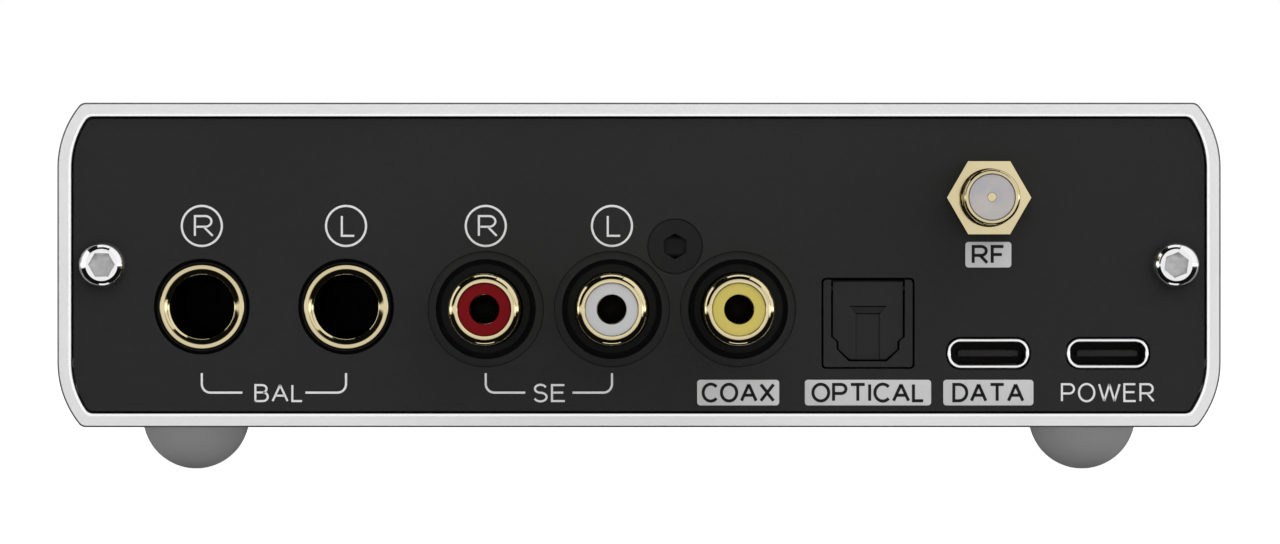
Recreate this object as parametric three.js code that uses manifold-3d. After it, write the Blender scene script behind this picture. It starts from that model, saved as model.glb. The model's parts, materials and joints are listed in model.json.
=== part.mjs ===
// A desktop digital-to-analogue converter: an extruded aluminium case with audio, data and aerial
// connectors in its rear panel, and a push-and-turn knob, a display and a button at its front.
// Millimetres. The front looks along -Y, the rear panel along +Y, and +Z is up.
// Inside the device group z = 0 is the middle height of the case.
import * as THREE from 'three';
import { mergeVertices } from 'three/addons/utils/BufferGeometryUtils.js';
import Module from 'manifold-3d';

const wasm = await Module();
wasm.setup();

// ---------------------------------------------------------------- driving dimensions

const caseWidth = 129;
const caseHeight = 36;
const caseDepth = 106;
const caseWall = 1.5;
const sideRadius = 11;
const sideArcX = caseWidth / 2 - sideRadius;
const sideArcZ = 10.8;
const cornerRadius = 1;

const footRadius = 6;
const footHeight = 4.85;
const footFlat = 1.2;
const feet = [
  ['foot_rear_right', 49.8, 41],
  ['foot_rear_left', -49.8, 41],
  ['foot_front_right', 54.7, -41],
  ['foot_front_left', -54.7, -41],
];
const caseMiddle = footHeight + caseHeight / 2;

const panelRecess = 0.5;
const panelGap = 0.25;
const rearThickness = 2;
const fasciaThickness = 2;
const carrierThickness = 2.6;
const rearFace = caseDepth / 2 - panelRecess;
const rearInside = rearFace - rearThickness;
const frontFace = -rearFace;
const fasciaBack = frontFace + fasciaThickness;
const carrierBack = fasciaBack + carrierThickness;

const clearance = 0.1;
const overcut = 1;

const screwChannelX = 59.5;
const screwChannelRadius = 3;
const screwBore = 1.6;
const screwShank = 1.45;
const screwSocket = 2.5;
const countersunkHead = 3;
const countersinkDepth = 1.5;
const centreScrewX = -4;
const centreScrewZ = 2.07;

const boardTop = -11.5;
const boardThickness = 1.6;
const boardHalfWidth = 62.2;
const boardFront = -38;
const railInner = 60.9;

const trsJacks = [['trs_right', 48.5], ['trs_left', 32.5]];
const trsZ = -4.64;
const trsHole = 5.3;
const trsNose = 4.95;
const ferruleRadius = 4.7;
const plugBore = 3.525;

const rcaJacks = [['rca_right', 17, '#7c1c20'], ['rca_left', 3, '#bdbdbf'], ['coax', -11, '#b8a85a']];
const rcaZ = -4.9;
const rcaHole = 5.55;
const rcaBarrel = 4;
const rcaBore = 3.1;
const rcaReach = 8.6;
const rcaDepth = 9.5;

const opticalX = -25.4;
const opticalZ = -6.49;
const opticalWidth = 9.9;
const opticalHeight = 9.7;
const opticalDepth = 13.5;
const opticalCavity = 10.5;

const usbPorts = [['usb_data', -38.75], ['usb_power', -52]];
const usbZ = -9.82;
const usbWidth = 9.05;
const usbHeight = 3.28;
const usbCorner = 1.45;
const usbWall = 0.38;
const usbDepth = 7.3;

const antennaX = -38.75;
const antennaZ = 7.44;
const antennaThread = 3.1;
const antennaReach = 9;
const antennaTail = -8.5;

const knobX = 44;
const knobRadius = 10.5;
const knobFront = -61.5;
const knobBack = -53.3;
const shaftRadius = 3;
const bushingRadius = 3.5;
const encoderBack = -43.1;
const buttonX = -50;
const nutWindow = 6.2;
const buttonRadius = 3.5;
const buttonFlange = 4.3;
const controlBoardFront = -43;
const controlBoardBack = -41.8;
const displayX = -8;

// ---------------------------------------------------------------- finishes

function finish(color, roughness, metalness) {
  return new THREE.MeshStandardMaterial({ color, roughness, metalness });
}

const silverAluminium = finish('#d6d8da', 0.45, 1);
const blackAluminium = finish('#262626', 0.55, 0.4);
const smokedAcrylic = finish('#0b0c0e', 0.08, 0);
const blackPlastic = finish('#1b1b1c', 0.6, 0);
const greyRubber = finish('#6f7072', 0.8, 0);
const gold = finish('#c8b982', 0.2, 1);
const chrome = finish('#dedede', 0.1, 1);
const blackSteel = finish('#1a1a1b', 0.4, 0.8);
const stainlessSteel = finish('#c4c5c7', 0.3, 1);
const milkyPlastic = finish('#cfcac8', 0.5, 0);
const boardLaminate = finish('#123524', 0.45, 0);
const displayGlass = finish('#101318', 0.1, 0);
const cableJacket = finish('#3a3a3c', 0.6, 0);
const ribbonFilm = finish('#c9cdd2', 0.5, 0);
const chipResin = finish('#202124', 0.6, 0);

// ---------------------------------------------------------------- outlines

function arc(x, y, radius, from, to, steps) {
  const points = [];
  for (let step = 0; step <= steps; step++) {
    const angle = THREE.MathUtils.degToRad(from + (to - from) * step / steps);
    points.push(new THREE.Vector2(x + radius * Math.cos(angle), y + radius * Math.sin(angle)));
  }
  return points;
}

function points(pairs) {
  return pairs.map(([x, y]) => new THREE.Vector2(x, y));
}

// Four copies of the first quarter, mirrored left to right and top to bottom.
function mirrorQuarter(quarter) {
  const copy = (signX, signY) => quarter.map((point) => new THREE.Vector2(signX * point.x, signY * point.y));
  return [...copy(1, 1), ...copy(-1, 1).reverse(), ...copy(-1, -1), ...copy(1, -1).reverse()];
}

// The case section: straight sides, a large arc at each corner that the flat top and bottom cut
// short, and a small rounding where they meet. The inset moves it inwards for walls and panels.
function caseOutline(inset) {
  const radius = sideRadius - inset;
  const roundingZ = caseHeight / 2 - inset - cornerRadius;
  const rise = roundingZ - sideArcZ;
  const run = Math.sqrt((radius - cornerRadius) ** 2 - rise ** 2);
  const meeting = THREE.MathUtils.radToDeg(Math.atan2(rise, run));
  return mirrorQuarter([
    ...arc(sideArcX, sideArcZ, radius, 0, meeting, 5),
    ...arc(sideArcX + run, roundingZ, cornerRadius, meeting, 90, 3).slice(1),
  ]);
}

function roundedRectangle(width, height, radius) {
  return mirrorQuarter(arc(width / 2 - radius, height / 2 - radius, radius, 0, 90, 4));
}

function hexagon(acrossFlats, turn = 0) {
  const cornerDistance = acrossFlats / Math.sqrt(3);
  return arc(0, 0, cornerDistance, turn, turn + 300, 5);
}

function shifted(outline, x, z) {
  return outline.map((point) => new THREE.Vector2(point.x + x, point.y + z));
}

// The keyed mouth of an optical socket: square at the top, stepped and chamfered at the bottom.
function opticalKey(inset, top) {
  const wide = 4.085 - inset;
  const narrow = 3.485 - inset;
  const foot = 2.1 - inset / 2;
  const right = [[wide, top], [wide, -1.5], [narrow, -2], [narrow, -2.87], [foot, -4.2 + inset]];
  const left = right.map(([x, z]) => [-x, z]).reverse();
  return points([...right, ...left]);
}

// The two long edges of a strip of sheet metal that follows a bent centre line.
function stripOutline(centreLine, thickness) {
  const line = points(centreLine);
  const left = [];
  const right = [];
  line.forEach((point, index) => {
    const before = line[Math.max(index - 1, 0)];
    const after = line[Math.min(index + 1, line.length - 1)];
    const along = after.clone().sub(before).normalize();
    const across = new THREE.Vector2(-along.y, along.x).multiplyScalar(thickness / 2);
    left.push(point.clone().add(across));
    right.push(point.clone().sub(across));
  });
  return [...right, ...left.reverse()];
}

// ---------------------------------------------------------------- solids

function solid(geometry) {
  geometry.deleteAttribute('normal');
  geometry.deleteAttribute('uv');
  const welded = mergeVertices(geometry);
  const vertProperties = new Float32Array(welded.attributes.position.array);
  const triVerts = new Uint32Array(welded.index.array);
  return new wasm.Manifold(new wasm.Mesh({ numProp: 3, vertProperties, triVerts }));
}

function union(solids) {
  return solids.reduce((whole, next) => whole.add(next));
}

function block([x0, x1], [y0, y1], [z0, z1]) {
  const box = new THREE.BoxGeometry(Math.abs(x1 - x0), Math.abs(y1 - y0), Math.abs(z1 - z0));
  return solid(box.translate((x0 + x1) / 2, (y0 + y1) / 2, (z0 + z1) / 2));
}

// A rod or cone along Y, with a radius at each end.
function coneY(radius0, radius1, [y0, y1], x = 0, z = 0, sides = 24) {
  const cone = new THREE.CylinderGeometry(radius1, radius0, y1 - y0, sides);
  return solid(cone.translate(x, (y0 + y1) / 2, z));
}

function rodY(radius, span, x = 0, z = 0, sides = 24) {
  return coneY(radius, radius, span, x, z, sides);
}

function rodX(radius, [x0, x1], y, z, sides = 16) {
  const rod = new THREE.CylinderGeometry(radius, radius, x1 - x0, sides);
  return solid(rod.rotateZ(Math.PI / 2).translate((x0 + x1) / 2, y, z));
}

function rodZ(radius, [z0, z1], x, y, sides = 24) {
  const rod = new THREE.CylinderGeometry(radius, radius, z1 - z0, sides);
  return solid(rod.rotateX(Math.PI / 2).translate(x, y, (z0 + z1) / 2));
}

// A solid turned about Y. The profile holds [radius, y] pairs, with its outer wall towards +Y.
function turnedY(profile, sides = 24) {
  const outline = points(profile);
  return solid(new THREE.LatheGeometry([...outline, outline[0]], sides));
}

const axisX = new THREE.Vector3(1, 0, 0);
const axisY = new THREE.Vector3(0, 1, 0);
const axisZ = new THREE.Vector3(0, 0, 1);
const outlineFacesY = new THREE.Matrix4().makeBasis(axisX, axisZ, axisY.clone().negate());
const outlineFacesX = new THREE.Matrix4().makeBasis(axisY, axisZ, axisX);

// An (x, z) outline run along Y.
function prismY(outline, [y0, y1], holes = []) {
  const shape = new THREE.Shape(outline);
  shape.holes = holes.map((hole) => new THREE.Path(hole));
  const prism = new THREE.ExtrudeGeometry(shape, { depth: y1 - y0, bevelEnabled: false });
  return solid(prism.applyMatrix4(outlineFacesY).translate(0, y1, 0));
}

// A (y, z) outline run along X.
function prismX(outline, [x0, x1]) {
  const prism = new THREE.ExtrudeGeometry(new THREE.Shape(outline), { depth: x1 - x0, bevelEnabled: false });
  return solid(prism.applyMatrix4(outlineFacesX).translate(x0, 0, 0));
}

function part(name, shape, material) {
  const { vertProperties, triVerts } = shape.getMesh();
  const geometry = new THREE.BufferGeometry();
  geometry.setAttribute('position', new THREE.BufferAttribute(vertProperties, 3));
  geometry.setIndex(new THREE.BufferAttribute(triVerts, 1));
  geometry.computeVertexNormals();
  const mesh = new THREE.Mesh(geometry, material);
  mesh.name = name;
  return mesh;
}

function assembly(x, y, z, parts) {
  const group = new THREE.Group();
  group.position.set(x, y, z);
  group.add(...parts);
  return group;
}

// ---------------------------------------------------------------- case and panels

// One extrusion: the tube, two screw channels and two pairs of ledges that hold the main board.
// The channels are milled back at both ends, which is what the panels rest against.
function caseShell() {
  const innerSpan = [carrierBack, rearInside];
  const boardBottom = boardTop - boardThickness;
  const ledgeGap = 0.1;
  const ledgeHeight = 1;
  const pieces = [prismY(caseOutline(0), [-caseDepth / 2, caseDepth / 2], [caseOutline(caseWall)])];
  const bores = [];
  for (const side of [-1, 1]) {
    const wallX = side * (caseWidth / 2 - caseWall / 2);
    const ledgeEnd = side * 63;
    pieces.push(rodY(screwChannelRadius, innerSpan, side * screwChannelX, 0));
    pieces.push(block([side * screwChannelX, wallX], innerSpan, [-1.5, 1.5]));
    const upper = boardTop + ledgeGap;
    const lower = boardBottom - ledgeGap;
    pieces.push(block([side * railInner, ledgeEnd], innerSpan, [upper, upper + ledgeHeight]));
    pieces.push(block([side * railInner, ledgeEnd], innerSpan, [lower - ledgeHeight, lower]));
    bores.push(rodY(screwBore, [carrierBack - overcut, rearInside + overcut], side * screwChannelX, 0));
  }
  return part('case_shell', union(pieces).subtract(union(bores)), silverAluminium);
}

function rearPanel() {
  const plate = prismY(caseOutline(caseWall + panelGap), [rearInside, rearFace]);
  const through = [rearInside - overcut, rearFace + overcut];
  const opening = (outline, x, z) => prismY(shifted(outline, x, z), through);
  const cuts = [
    ...trsJacks.map(([, x]) => rodY(trsHole, through, x, trsZ)),
    ...rcaJacks.map(([, x]) => rodY(rcaHole, through, x, rcaZ)),
    opening(roundedRectangle(opticalWidth + 0.25, opticalHeight + 0.3, 0.5), opticalX, opticalZ),
    ...usbPorts.map(([, x]) => opening(roundedRectangle(9.4, 3.62, 1.6), x, usbZ)),
    rodY(antennaThread + clearance, through, antennaX, antennaZ),
    ...[-1, 1].map((side) => rodY(screwBore, through, side * screwChannelX, 0)),
    rodY(screwBore, through, centreScrewX, centreScrewZ),
    coneY(screwBore, countersunkHead + clearance, [rearFace - countersinkDepth, rearFace],
      centreScrewX, centreScrewZ),
  ];
  return part('rear_panel', plate.subtract(union(cuts)), blackAluminium);
}

// The smoked front plate: one round window for the knob's nut and one for the button.
function frontFascia() {
  const plate = prismY(caseOutline(caseWall + panelGap), [frontFace, fasciaBack]);
  const through = [frontFace - overcut, fasciaBack + overcut];
  const cuts = [rodY(nutWindow, through, knobX, 0), rodY(buttonRadius + 0.15, through, buttonX, 0)];
  return part('front_fascia', plate.subtract(union(cuts)), smokedAcrylic);
}

// The inner front plate, which carries the encoder, the button and the display in a pocket.
function frontCarrier() {
  const plate = prismY(caseOutline(caseWall + panelGap), [fasciaBack, carrierBack]);
  const through = [fasciaBack - overcut, carrierBack + overcut];
  const pocket = [fasciaBack - overcut, fasciaBack + 2];
  const cuts = [
    rodY(bushingRadius + clearance, through, knobX, 0),
    rodY(buttonFlange + 0.3, through, buttonX, 0),
    block([displayX - 29, displayX + 29], pocket, [-9.8, 9.8]),
    block([displayX - 6, displayX + 6], through, [-9.5, -6.5]),
  ];
  for (const side of [-1, 1]) {
    cuts.push(rodY(screwBore, through, side * screwChannelX, 0));
    const sink = [fasciaBack, fasciaBack + 1.6];
    cuts.push(coneY(countersunkHead + clearance, screwBore, sink, side * screwChannelX, 0));
  }
  return part('front_carrier', plate.subtract(union(cuts)), blackPlastic);
}

// ---------------------------------------------------------------- screws

// A pan head with a hexagon socket, resting on the panel at y = 0. Its shank points along -Y.
function panHeadScrew(name, x, turn) {
  const head = arc(1.35, 0.6, 1.3, 0, 74, 4).map((point) => [point.x, point.y]);
  const shank = [[0, -7.9], [1.1, -7.9], [screwShank, -7.4], [screwShank, 0]];
  const body = turnedY([...shank, [2.65, 0], ...head, [0, 1.85]]);
  const socket = prismY(hexagon(screwSocket, turn), [0.5, 1.85 + overcut]);
  return assembly(x, rearFace, 0, [part(name, body.subtract(socket), chrome)]);
}

// A countersunk head just under the surface at y = 0, with its shank along -Y.
function countersunkScrew(name) {
  const top = -0.05;
  const shank = [[0, -8], [1.1, -8], [screwShank, -7.5], [screwShank, top - countersinkDepth]];
  const body = turnedY([...shank, [countersunkHead, top], [0, top]]);
  const socket = prismY(hexagon(screwSocket, 90), [-1.1, overcut]);
  return part(name, body.subtract(socket), blackSteel);
}

function screws() {
  const frontScrew = (name, x) => {
    const holder = assembly(x, fasciaBack, 0, [countersunkScrew(name)]);
    holder.rotation.z = Math.PI;
    return holder;
  };
  return [
    panHeadScrew('rear_case_screw_right', screwChannelX, 0),
    panHeadScrew('rear_case_screw_left', -screwChannelX, 38),
    assembly(centreScrewX, rearFace, centreScrewZ, [countersunkScrew('rear_centre_screw')]),
    frontScrew('front_carrier_screw_right', screwChannelX),
    frontScrew('front_carrier_screw_left', -screwChannelX),
  ];
}

// ---------------------------------------------------------------- feet

// A rubber dome: part of a sphere, flat where it meets the case and with a small flat at its pole.
function foot(name, x, y) {
  const centre = footRadius;
  const poleAngle = THREE.MathUtils.radToDeg(Math.asin(footFlat / footRadius)) - 90;
  const rimAngle = THREE.MathUtils.radToDeg(Math.asin((footHeight - centre) / footRadius));
  const dome = arc(0, centre, footRadius, poleAngle, rimAngle, 5);
  dome[0].y = 0;
  const profile = [[0, 0], ...dome.map((point) => [point.x, point.y]), [0, footHeight]];
  const mesh = part(name, turnedY(profile), greyRubber);
  mesh.rotation.x = Math.PI / 2;
  return assembly(x, y, -caseHeight / 2 - footHeight, [mesh]);
}

// ---------------------------------------------------------------- 6.35 mm jacks

// A leaf contact bent from strip, at one side of the plug bore.
function leafContact(name, anchorY, side) {
  const line = [[0, 5.2], [2.1, 5.2], [4.8, 2.75], [6, 2.75], [9.6, 4.6]];
  const centreLine = line.map(([y, z]) => [anchorY + y, side * z]);
  return part(name, prismX(stripOutline(centreLine, 0.35), [-1.2, 1.2]), gold);
}

function trsJack(name, x) {
  const bodyFront = -rearThickness - clearance;
  const floor = boardTop + clearance - trsZ;
  const roof = 7.04;
  const shape = union([
    block([-7.7, 7.7], [-32, bodyFront], [floor, roof]),
    rodY(trsNose, [bodyFront - overcut, 0]),
  ]).subtract(union([
    rodY(ferruleRadius + clearance / 2, [-3, overcut]),
    rodY(plugBore, [-30, 0]),
    block([-1.6, 1.6], [-28, -16], [0, 6]),
    block([-1.6, 1.6], [-21, -9], [-5.9, 0]),
  ]));
  const ferrule = turnedY([[plugBore, -2.9], [ferruleRadius, -2.9], [ferruleRadius, -0.1],
    [ferruleRadius - 0.1, 0], [3.83, 0], [plugBore, -1.2]]);
  return assembly(x, rearFace, trsZ, [
    part(`${name}_housing`, shape, blackPlastic),
    part(`${name}_ferrule`, ferrule, gold),
    leafContact(`${name}_tip_contact`, -27.6, 1),
    leafContact(`${name}_ring_contact`, -20.6, -1),
  ]);
}

// ---------------------------------------------------------------- RCA sockets

// One block holds the three sockets. A collar around each barrel fills its hole in the panel.
function rcaBlock() {
  const front = rearInside - clearance;
  const back = rearInside - 10;
  const seat = rearFace - rcaDepth - clearance;
  const pieces = [block([-17.5, 23.5], [back, front], [boardTop + clearance, 5.2])];
  const cuts = [rodY(screwBore, [rearFace - 9, rearFace], centreScrewX, centreScrewZ)];
  for (const [, x] of rcaJacks) {
    pieces.push(rodY(5, [front - overcut, rearFace - 0.2], x, rcaZ));
    cuts.push(rodY(rcaBarrel + clearance, [seat, rearFace + overcut], x, rcaZ));
    cuts.push(rodY(1, [back - overcut, seat + overcut], x, rcaZ, 12));
  }
  return part('rca_block_housing', union(pieces).subtract(union(cuts)), blackPlastic);
}

function rcaSocket(name, x, color) {
  const shoulder = 0.45;
  const rounding = arc(rcaBarrel - shoulder, rcaReach - shoulder, shoulder, 0, 90, 3);
  const barrel = [[rcaBore, -rcaDepth], [rcaBarrel, -rcaDepth],
    ...rounding.map((point) => [point.x, point.y]),
    [rcaBore + 0.1, rcaReach], [rcaBore, rcaReach - 0.1]];
  const insulatorRadius = rcaBore - 0.05;
  const insulator = [[1, -9.4], [insulatorRadius, -9.4], [insulatorRadius, 8.3], [1.65, 8.3],
    [1.65, 7.1], [2.05, 7.1], [2.05, -8.4], [1, -8.4]];
  const contact = [[0, -11.5], [0.8, -11.5], [0.8, -8.2], [1.95, -8.2], [1.95, 6.9], [1.65, 6.9],
    [1.65, -6], [0, -6]];
  return assembly(x, rearFace, rcaZ, [
    part(`${name}_barrel`, turnedY(barrel), gold),
    part(`${name}_insulator`, turnedY(insulator), finish(color, 0.35, 0)),
    part(`${name}_centre_contact`, turnedY(contact, 16), gold),
  ]);
}

// ---------------------------------------------------------------- optical socket

const shutterHinge = { y: -0.8, z: 3.9, pin: 0.3, pinReach: 4.5 };
const shutterThickness = 0.9;
const shutterGap = 0.13;
const opticalRoof = 4.55;
const opticalRoofSetback = 1.9;
const opticalPocket = { halfWidth: 3.9, halfHeight: 3.6 };

// The housing has its keyed mouth at the front, which is open at the top, and a pocket at the back.
function opticalHousing() {
  const { y, z, pin, pinReach } = shutterHinge;
  const { halfWidth, halfHeight } = opticalPocket;
  const body = block([-opticalWidth / 2, opticalWidth / 2], [-opticalDepth, 0],
    [-opticalHeight / 2, opticalHeight / 2]);
  return body.subtract(union([
    prismY(opticalKey(0, opticalRoof), [-opticalCavity, overcut]),
    prismY(opticalKey(0, opticalHeight / 2 + overcut), [-opticalRoofSetback, overcut]),
    block([-halfWidth, halfWidth], [-opticalDepth - overcut, overcut - opticalCavity],
      [-halfHeight, halfHeight]),
    rodX(pin + clearance, [-pinReach - clearance, pinReach + clearance], y, z),
  ]));
}

// The flap turns on a pin through its upper part. A tapered recess in its face guides the plug.
function opticalFlap() {
  const { y, z, pin, pinReach } = shutterHinge;
  const span = [y - shutterThickness / 2, y + shutterThickness / 2];
  const plate = prismY(opticalKey(shutterGap, opticalHeight / 2 - clearance), span);
  const taper = points([[-2.05, 1.94], [-1.45, 1.07], [-1.45, -5], [1.45, -5], [1.45, 1.07], [2.05, 1.94]]);
  const recess = prismY(taper, [span[1] - 0.35, span[1] + overcut]);
  return plate.subtract(recess).add(rodX(pin, [-pinReach, pinReach], y, z));
}

function opticalSocket() {
  const receiver = block([-3.7, 3.7], [-opticalDepth, -opticalCavity - clearance], [-3.4, 3.4])
    .subtract(rodY(1.3, [-12.5, -opticalCavity]));
  return assembly(opticalX, rearFace, opticalZ, [
    part('optical_housing', opticalHousing(), blackPlastic),
    part('optical_shutter', opticalFlap(), blackPlastic),
    part('optical_receiver', receiver, chipResin),
  ]);
}

// ---------------------------------------------------------------- USB sockets

function usbPort(name, x) {
  const outline = roundedRectangle(usbWidth, usbHeight, usbCorner);
  const inner = (gap) => roundedRectangle(usbWidth - 2 * (usbWall + gap), usbHeight - 2 * (usbWall + gap),
    usbCorner - usbWall);
  const shell = prismY(outline, [-usbDepth, 0], [inner(0)]);
  const tongue = union([
    prismY(inner(0.05), [-usbDepth + 0.1, -5.9]),
    block([-3.35, 3.35], [-6.5, -0.9], [-0.35, 0.35]),
  ]);
  return assembly(x, rearFace, usbZ, [
    part(`${name}_shell`, shell, stainlessSteel),
    part(`${name}_tongue`, tongue, blackPlastic),
  ]);
}

// ---------------------------------------------------------------- aerial socket and wireless

function antennaJack() {
  const dielectricRadius = 2.5;
  const pinRadius = 0.465;
  const body = [[0.8, antennaTail], [2.2, antennaTail], [2.2, -4.2], [4.6, -4.2], [4.6, -rearThickness],
    [antennaThread, -rearThickness], [antennaThread, 8.6], [2.825, antennaReach],
    [dielectricRadius + 0.05, antennaReach], [dielectricRadius + 0.05, -3], [0.8, -3]];
  const dielectric = [[0.55, -2.9], [dielectricRadius, -2.9], [dielectricRadius, 8.6], [0.55, 8.6]];
  const pin = [[0, -8.2], [pinRadius, -8.2], [pinRadius, 8.5], [0.2, 8.8], [0, 8.8]];
  const nut = prismY(hexagon(8.1), [0, 2]).subtract(rodY(antennaThread + clearance, [-overcut, 3]));
  return assembly(antennaX, rearFace, antennaZ, [
    part('antenna_jack_body', turnedY(body), gold),
    part('antenna_jack_nut', nut, gold),
    part('antenna_jack_dielectric', turnedY(dielectric), milkyPlastic),
    part('antenna_jack_pin', turnedY(pin, 16), gold),
  ]);
}

const wirelessModule = { x: -42, y: 20, width: 18, length: 24, top: boardTop + 3 };

// The thin coaxial lead from the aerial socket, down and forward to the wireless module.
function antennaPigtail() {
  const start = new THREE.Vector3(antennaX, rearFace + antennaTail - 0.15, antennaZ);
  const end = new THREE.Vector3(wirelessModule.x, wirelessModule.y + 6, wirelessModule.top + 1.15);
  const route = new THREE.CatmullRomCurve3([
    start,
    new THREE.Vector3(antennaX, 41, antennaZ),
    new THREE.Vector3(antennaX - 0.5, 37.2, 5),
    new THREE.Vector3(antennaX - 2, 35.6, -1),
    new THREE.Vector3(antennaX - 3, 33, -5.6),
    new THREE.Vector3(end.x, end.y + 3.5, end.z),
    end,
  ]);
  const section = new THREE.Shape(arc(0, 0, 0.6, 0, 300, 5));
  const lead = new THREE.ExtrudeGeometry(section, { steps: 24, extrudePath: route });
  return part('antenna_pigtail', solid(lead), cableJacket);
}

function wirelessBoard() {
  const { x, y, width, length, top } = wirelessModule;
  const halfWidth = width / 2;
  const halfLength = length / 2;
  const base = boardTop + clearance;
  return part('wireless_module', union([
    block([x - halfWidth, x + halfWidth], [y - halfLength, y + halfLength], [base, base + 0.8]),
    block([x - halfWidth + 1, x + halfWidth - 1], [y - halfLength + 1, y + 3], [base, top - 0.2]),
    rodZ(1.4, [base, top], x, y + 6, 16),
  ]), stainlessSteel);
}

// ---------------------------------------------------------------- boards and what they carry

function mainBoard() {
  const edge = rearInside - 0.2;
  const bottom = boardTop - boardThickness;
  const board = block([-boardHalfWidth, boardHalfWidth], [boardFront, edge], [bottom, boardTop]);
  const holes = [-1, 1].map((side) => rodZ(screwBore, [bottom - overcut, boardTop + overcut], side * 55, -32));
  return part('main_board', board.subtract(union(holes)), boardLaminate);
}

// A square chip with four leads on each side.
function chip(name, x, y, size) {
  const half = size / 2;
  const base = boardTop + clearance;
  const pieces = [block([x - half, x + half], [y - half, y + half], [base + 0.2, base + 1.3])];
  for (let lead = 0; lead < 4; lead++) {
    const offset = (lead - 1.5) * size / 5;
    const reach = half + 0.9;
    pieces.push(block([x + offset - 0.2, x + offset + 0.2], [y - reach, y + reach], [base, base + 0.4]));
    pieces.push(block([x - reach, x + reach], [y + offset - 0.2, y + offset + 0.2], [base, base + 0.4]));
  }
  return part(name, union(pieces), chipResin);
}

// A can capacitor standing on the board, with the crimped groove near its base.
function capacitor(name, x, y) {
  const profile = [[0, 0], [4, 0], [4, 1.4], [3.6, 1.8], [4, 2.2], [4, 11.2], [3.7, 11.5], [0, 11.5]];
  const mesh = part(name, turnedY(profile), silverAluminium);
  mesh.rotation.x = Math.PI / 2;
  return assembly(x, y, boardTop + clearance, [mesh]);
}

function controlBoard() {
  const thickness = [controlBoardFront, controlBoardBack];
  return part('control_board', block([-56, 54], thickness, [-13.5, 13.5]), boardLaminate);
}

function displayModule() {
  const front = fasciaBack + clearance;
  return part('display_module', union([
    block([displayX - 28.7, displayX + 28.7], [front, front + 1.2], [-9.5, 9.5]),
    block([displayX - 26, displayX + 26], [front, front + 1.8], [-6, 9.5]),
  ]), displayGlass);
}

// The flat cable between the two boards, folded once around the front edge of the main board.
function ribbonCable() {
  const line = [[-41.6, -7], [-40.8, -7.4], [-40.2, -8.4], [-39.6, -9.8], [-38.4, -10.7], [-36.5, -11.1],
    [-30, -11.15]];
  return part('ribbon_cable', prismX(stripOutline(line, 0.3), [-16, -4]), ribbonFilm);
}

// ---------------------------------------------------------------- front controls

// The bushing of the encoder passes through the carrier, where its nut clamps it.
function encoder() {
  const bodyFront = carrierBack + clearance;
  const bore = shaftRadius + clearance;
  const body = union([
    block([-6.2, 6.2], [bodyFront, encoderBack], [-6.7, 6.7]),
    rodY(bushingRadius, [frontFace, bodyFront + overcut]),
  ]).subtract(rodY(bore, [frontFace - overcut, encoderBack + overcut]));
  const nut = prismY(hexagon(10), [fasciaBack - 1.8, fasciaBack])
    .subtract(rodY(bushingRadius + clearance, [frontFace - overcut, fasciaBack + overcut]));
  return assembly(knobX, 0, 0, [
    part('encoder_body', body, stainlessSteel),
    part('encoder_nut', nut, chrome),
    part('encoder_push_rod', rodY(2.5, [-46.1, encoderBack - 0.6]), blackPlastic),
  ]);
}

// The shaft has a flat on its lower side, where the grub screw of the knob presses.
function volumeKnob() {
  const shaftFront = -59.5;
  const flatZ = -1.5;
  const grubY = -56.6;
  const shaft = rodY(shaftRadius, [shaftFront, -46.2])
    .subtract(block([-4, 4], [shaftFront - overcut, knobBack - 0.4], [-4, flatZ]));
  const knob = turnedY([[0, knobFront + 0.35], [8.6, knobFront], [9.9, knobFront], [knobRadius, knobFront + 0.6],
    [knobRadius, knobBack - 0.4], [knobRadius - 0.4, knobBack], [shaftRadius + clearance, knobBack],
    [shaftRadius + clearance, shaftFront - 0.2], [0, shaftFront - 0.2]], 36)
    .subtract(rodZ(1.6, [-11, -2], 0, grubY));
  const grub = rodZ(1.5, [flatZ - 5, flatZ - 0.05], 0, grubY)
    .subtract(rodZ(0.8, [flatZ - 6, flatZ - 3.4], 0, grubY, 6));
  return assembly(knobX, 0, 0, [
    part('encoder_shaft', shaft, stainlessSteel),
    part('volume_knob', knob, silverAluminium),
    part('knob_grub_screw', grub, blackSteel),
  ]);
}

// The button's flange keeps it behind the fascia, and its stem reaches into the well of the switch.
function inputButton() {
  const button = turnedY([[0, frontFace - 0.8], [3.2, frontFace - 0.8], [buttonRadius, frontFace - 0.5],
    [buttonRadius, fasciaBack + clearance], [buttonFlange, fasciaBack + clearance],
    [buttonFlange, fasciaBack + 1.1], [1.5, fasciaBack + 1.1], [1.5, -46.6], [0, -46.6]]);
  const switchBody = block([-3, 3], [-46.9, controlBoardFront - 0.1], [-3, 3])
    .subtract(rodY(1.8, [-48, -46.1]));
  return assembly(buttonX, 0, 0, [
    part('input_button', button, silverAluminium),
    part('button_switch_body', switchBody, blackPlastic),
  ]);
}

// ---------------------------------------------------------------- the whole device

const device = assembly(0, 0, caseMiddle, [
  caseShell(),
  rearPanel(),
  frontFascia(),
  frontCarrier(),
  ...screws(),
  ...feet.map(([name, x, y]) => foot(name, x, y)),
  ...trsJacks.map(([name, x]) => trsJack(name, x)),
  rcaBlock(),
  ...rcaJacks.map(([name, x, color]) => rcaSocket(name, x, color)),
  opticalSocket(),
  ...usbPorts.map(([name, x]) => usbPort(name, x)),
  antennaJack(),
  antennaPigtail(),
  wirelessBoard(),
  mainBoard(),
  chip('converter_chip', 5, 12, 9),
  chip('processor_chip', -12, 10, 10),
  capacitor('filter_capacitor_right', 20, 6),
  capacitor('filter_capacitor_left', 10, -8),
  controlBoard(),
  displayModule(),
  ribbonCable(),
  encoder(),
  volumeKnob(),
  inputButton(),
]);

const model = new THREE.Group();
model.add(device);

export default model;
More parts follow.
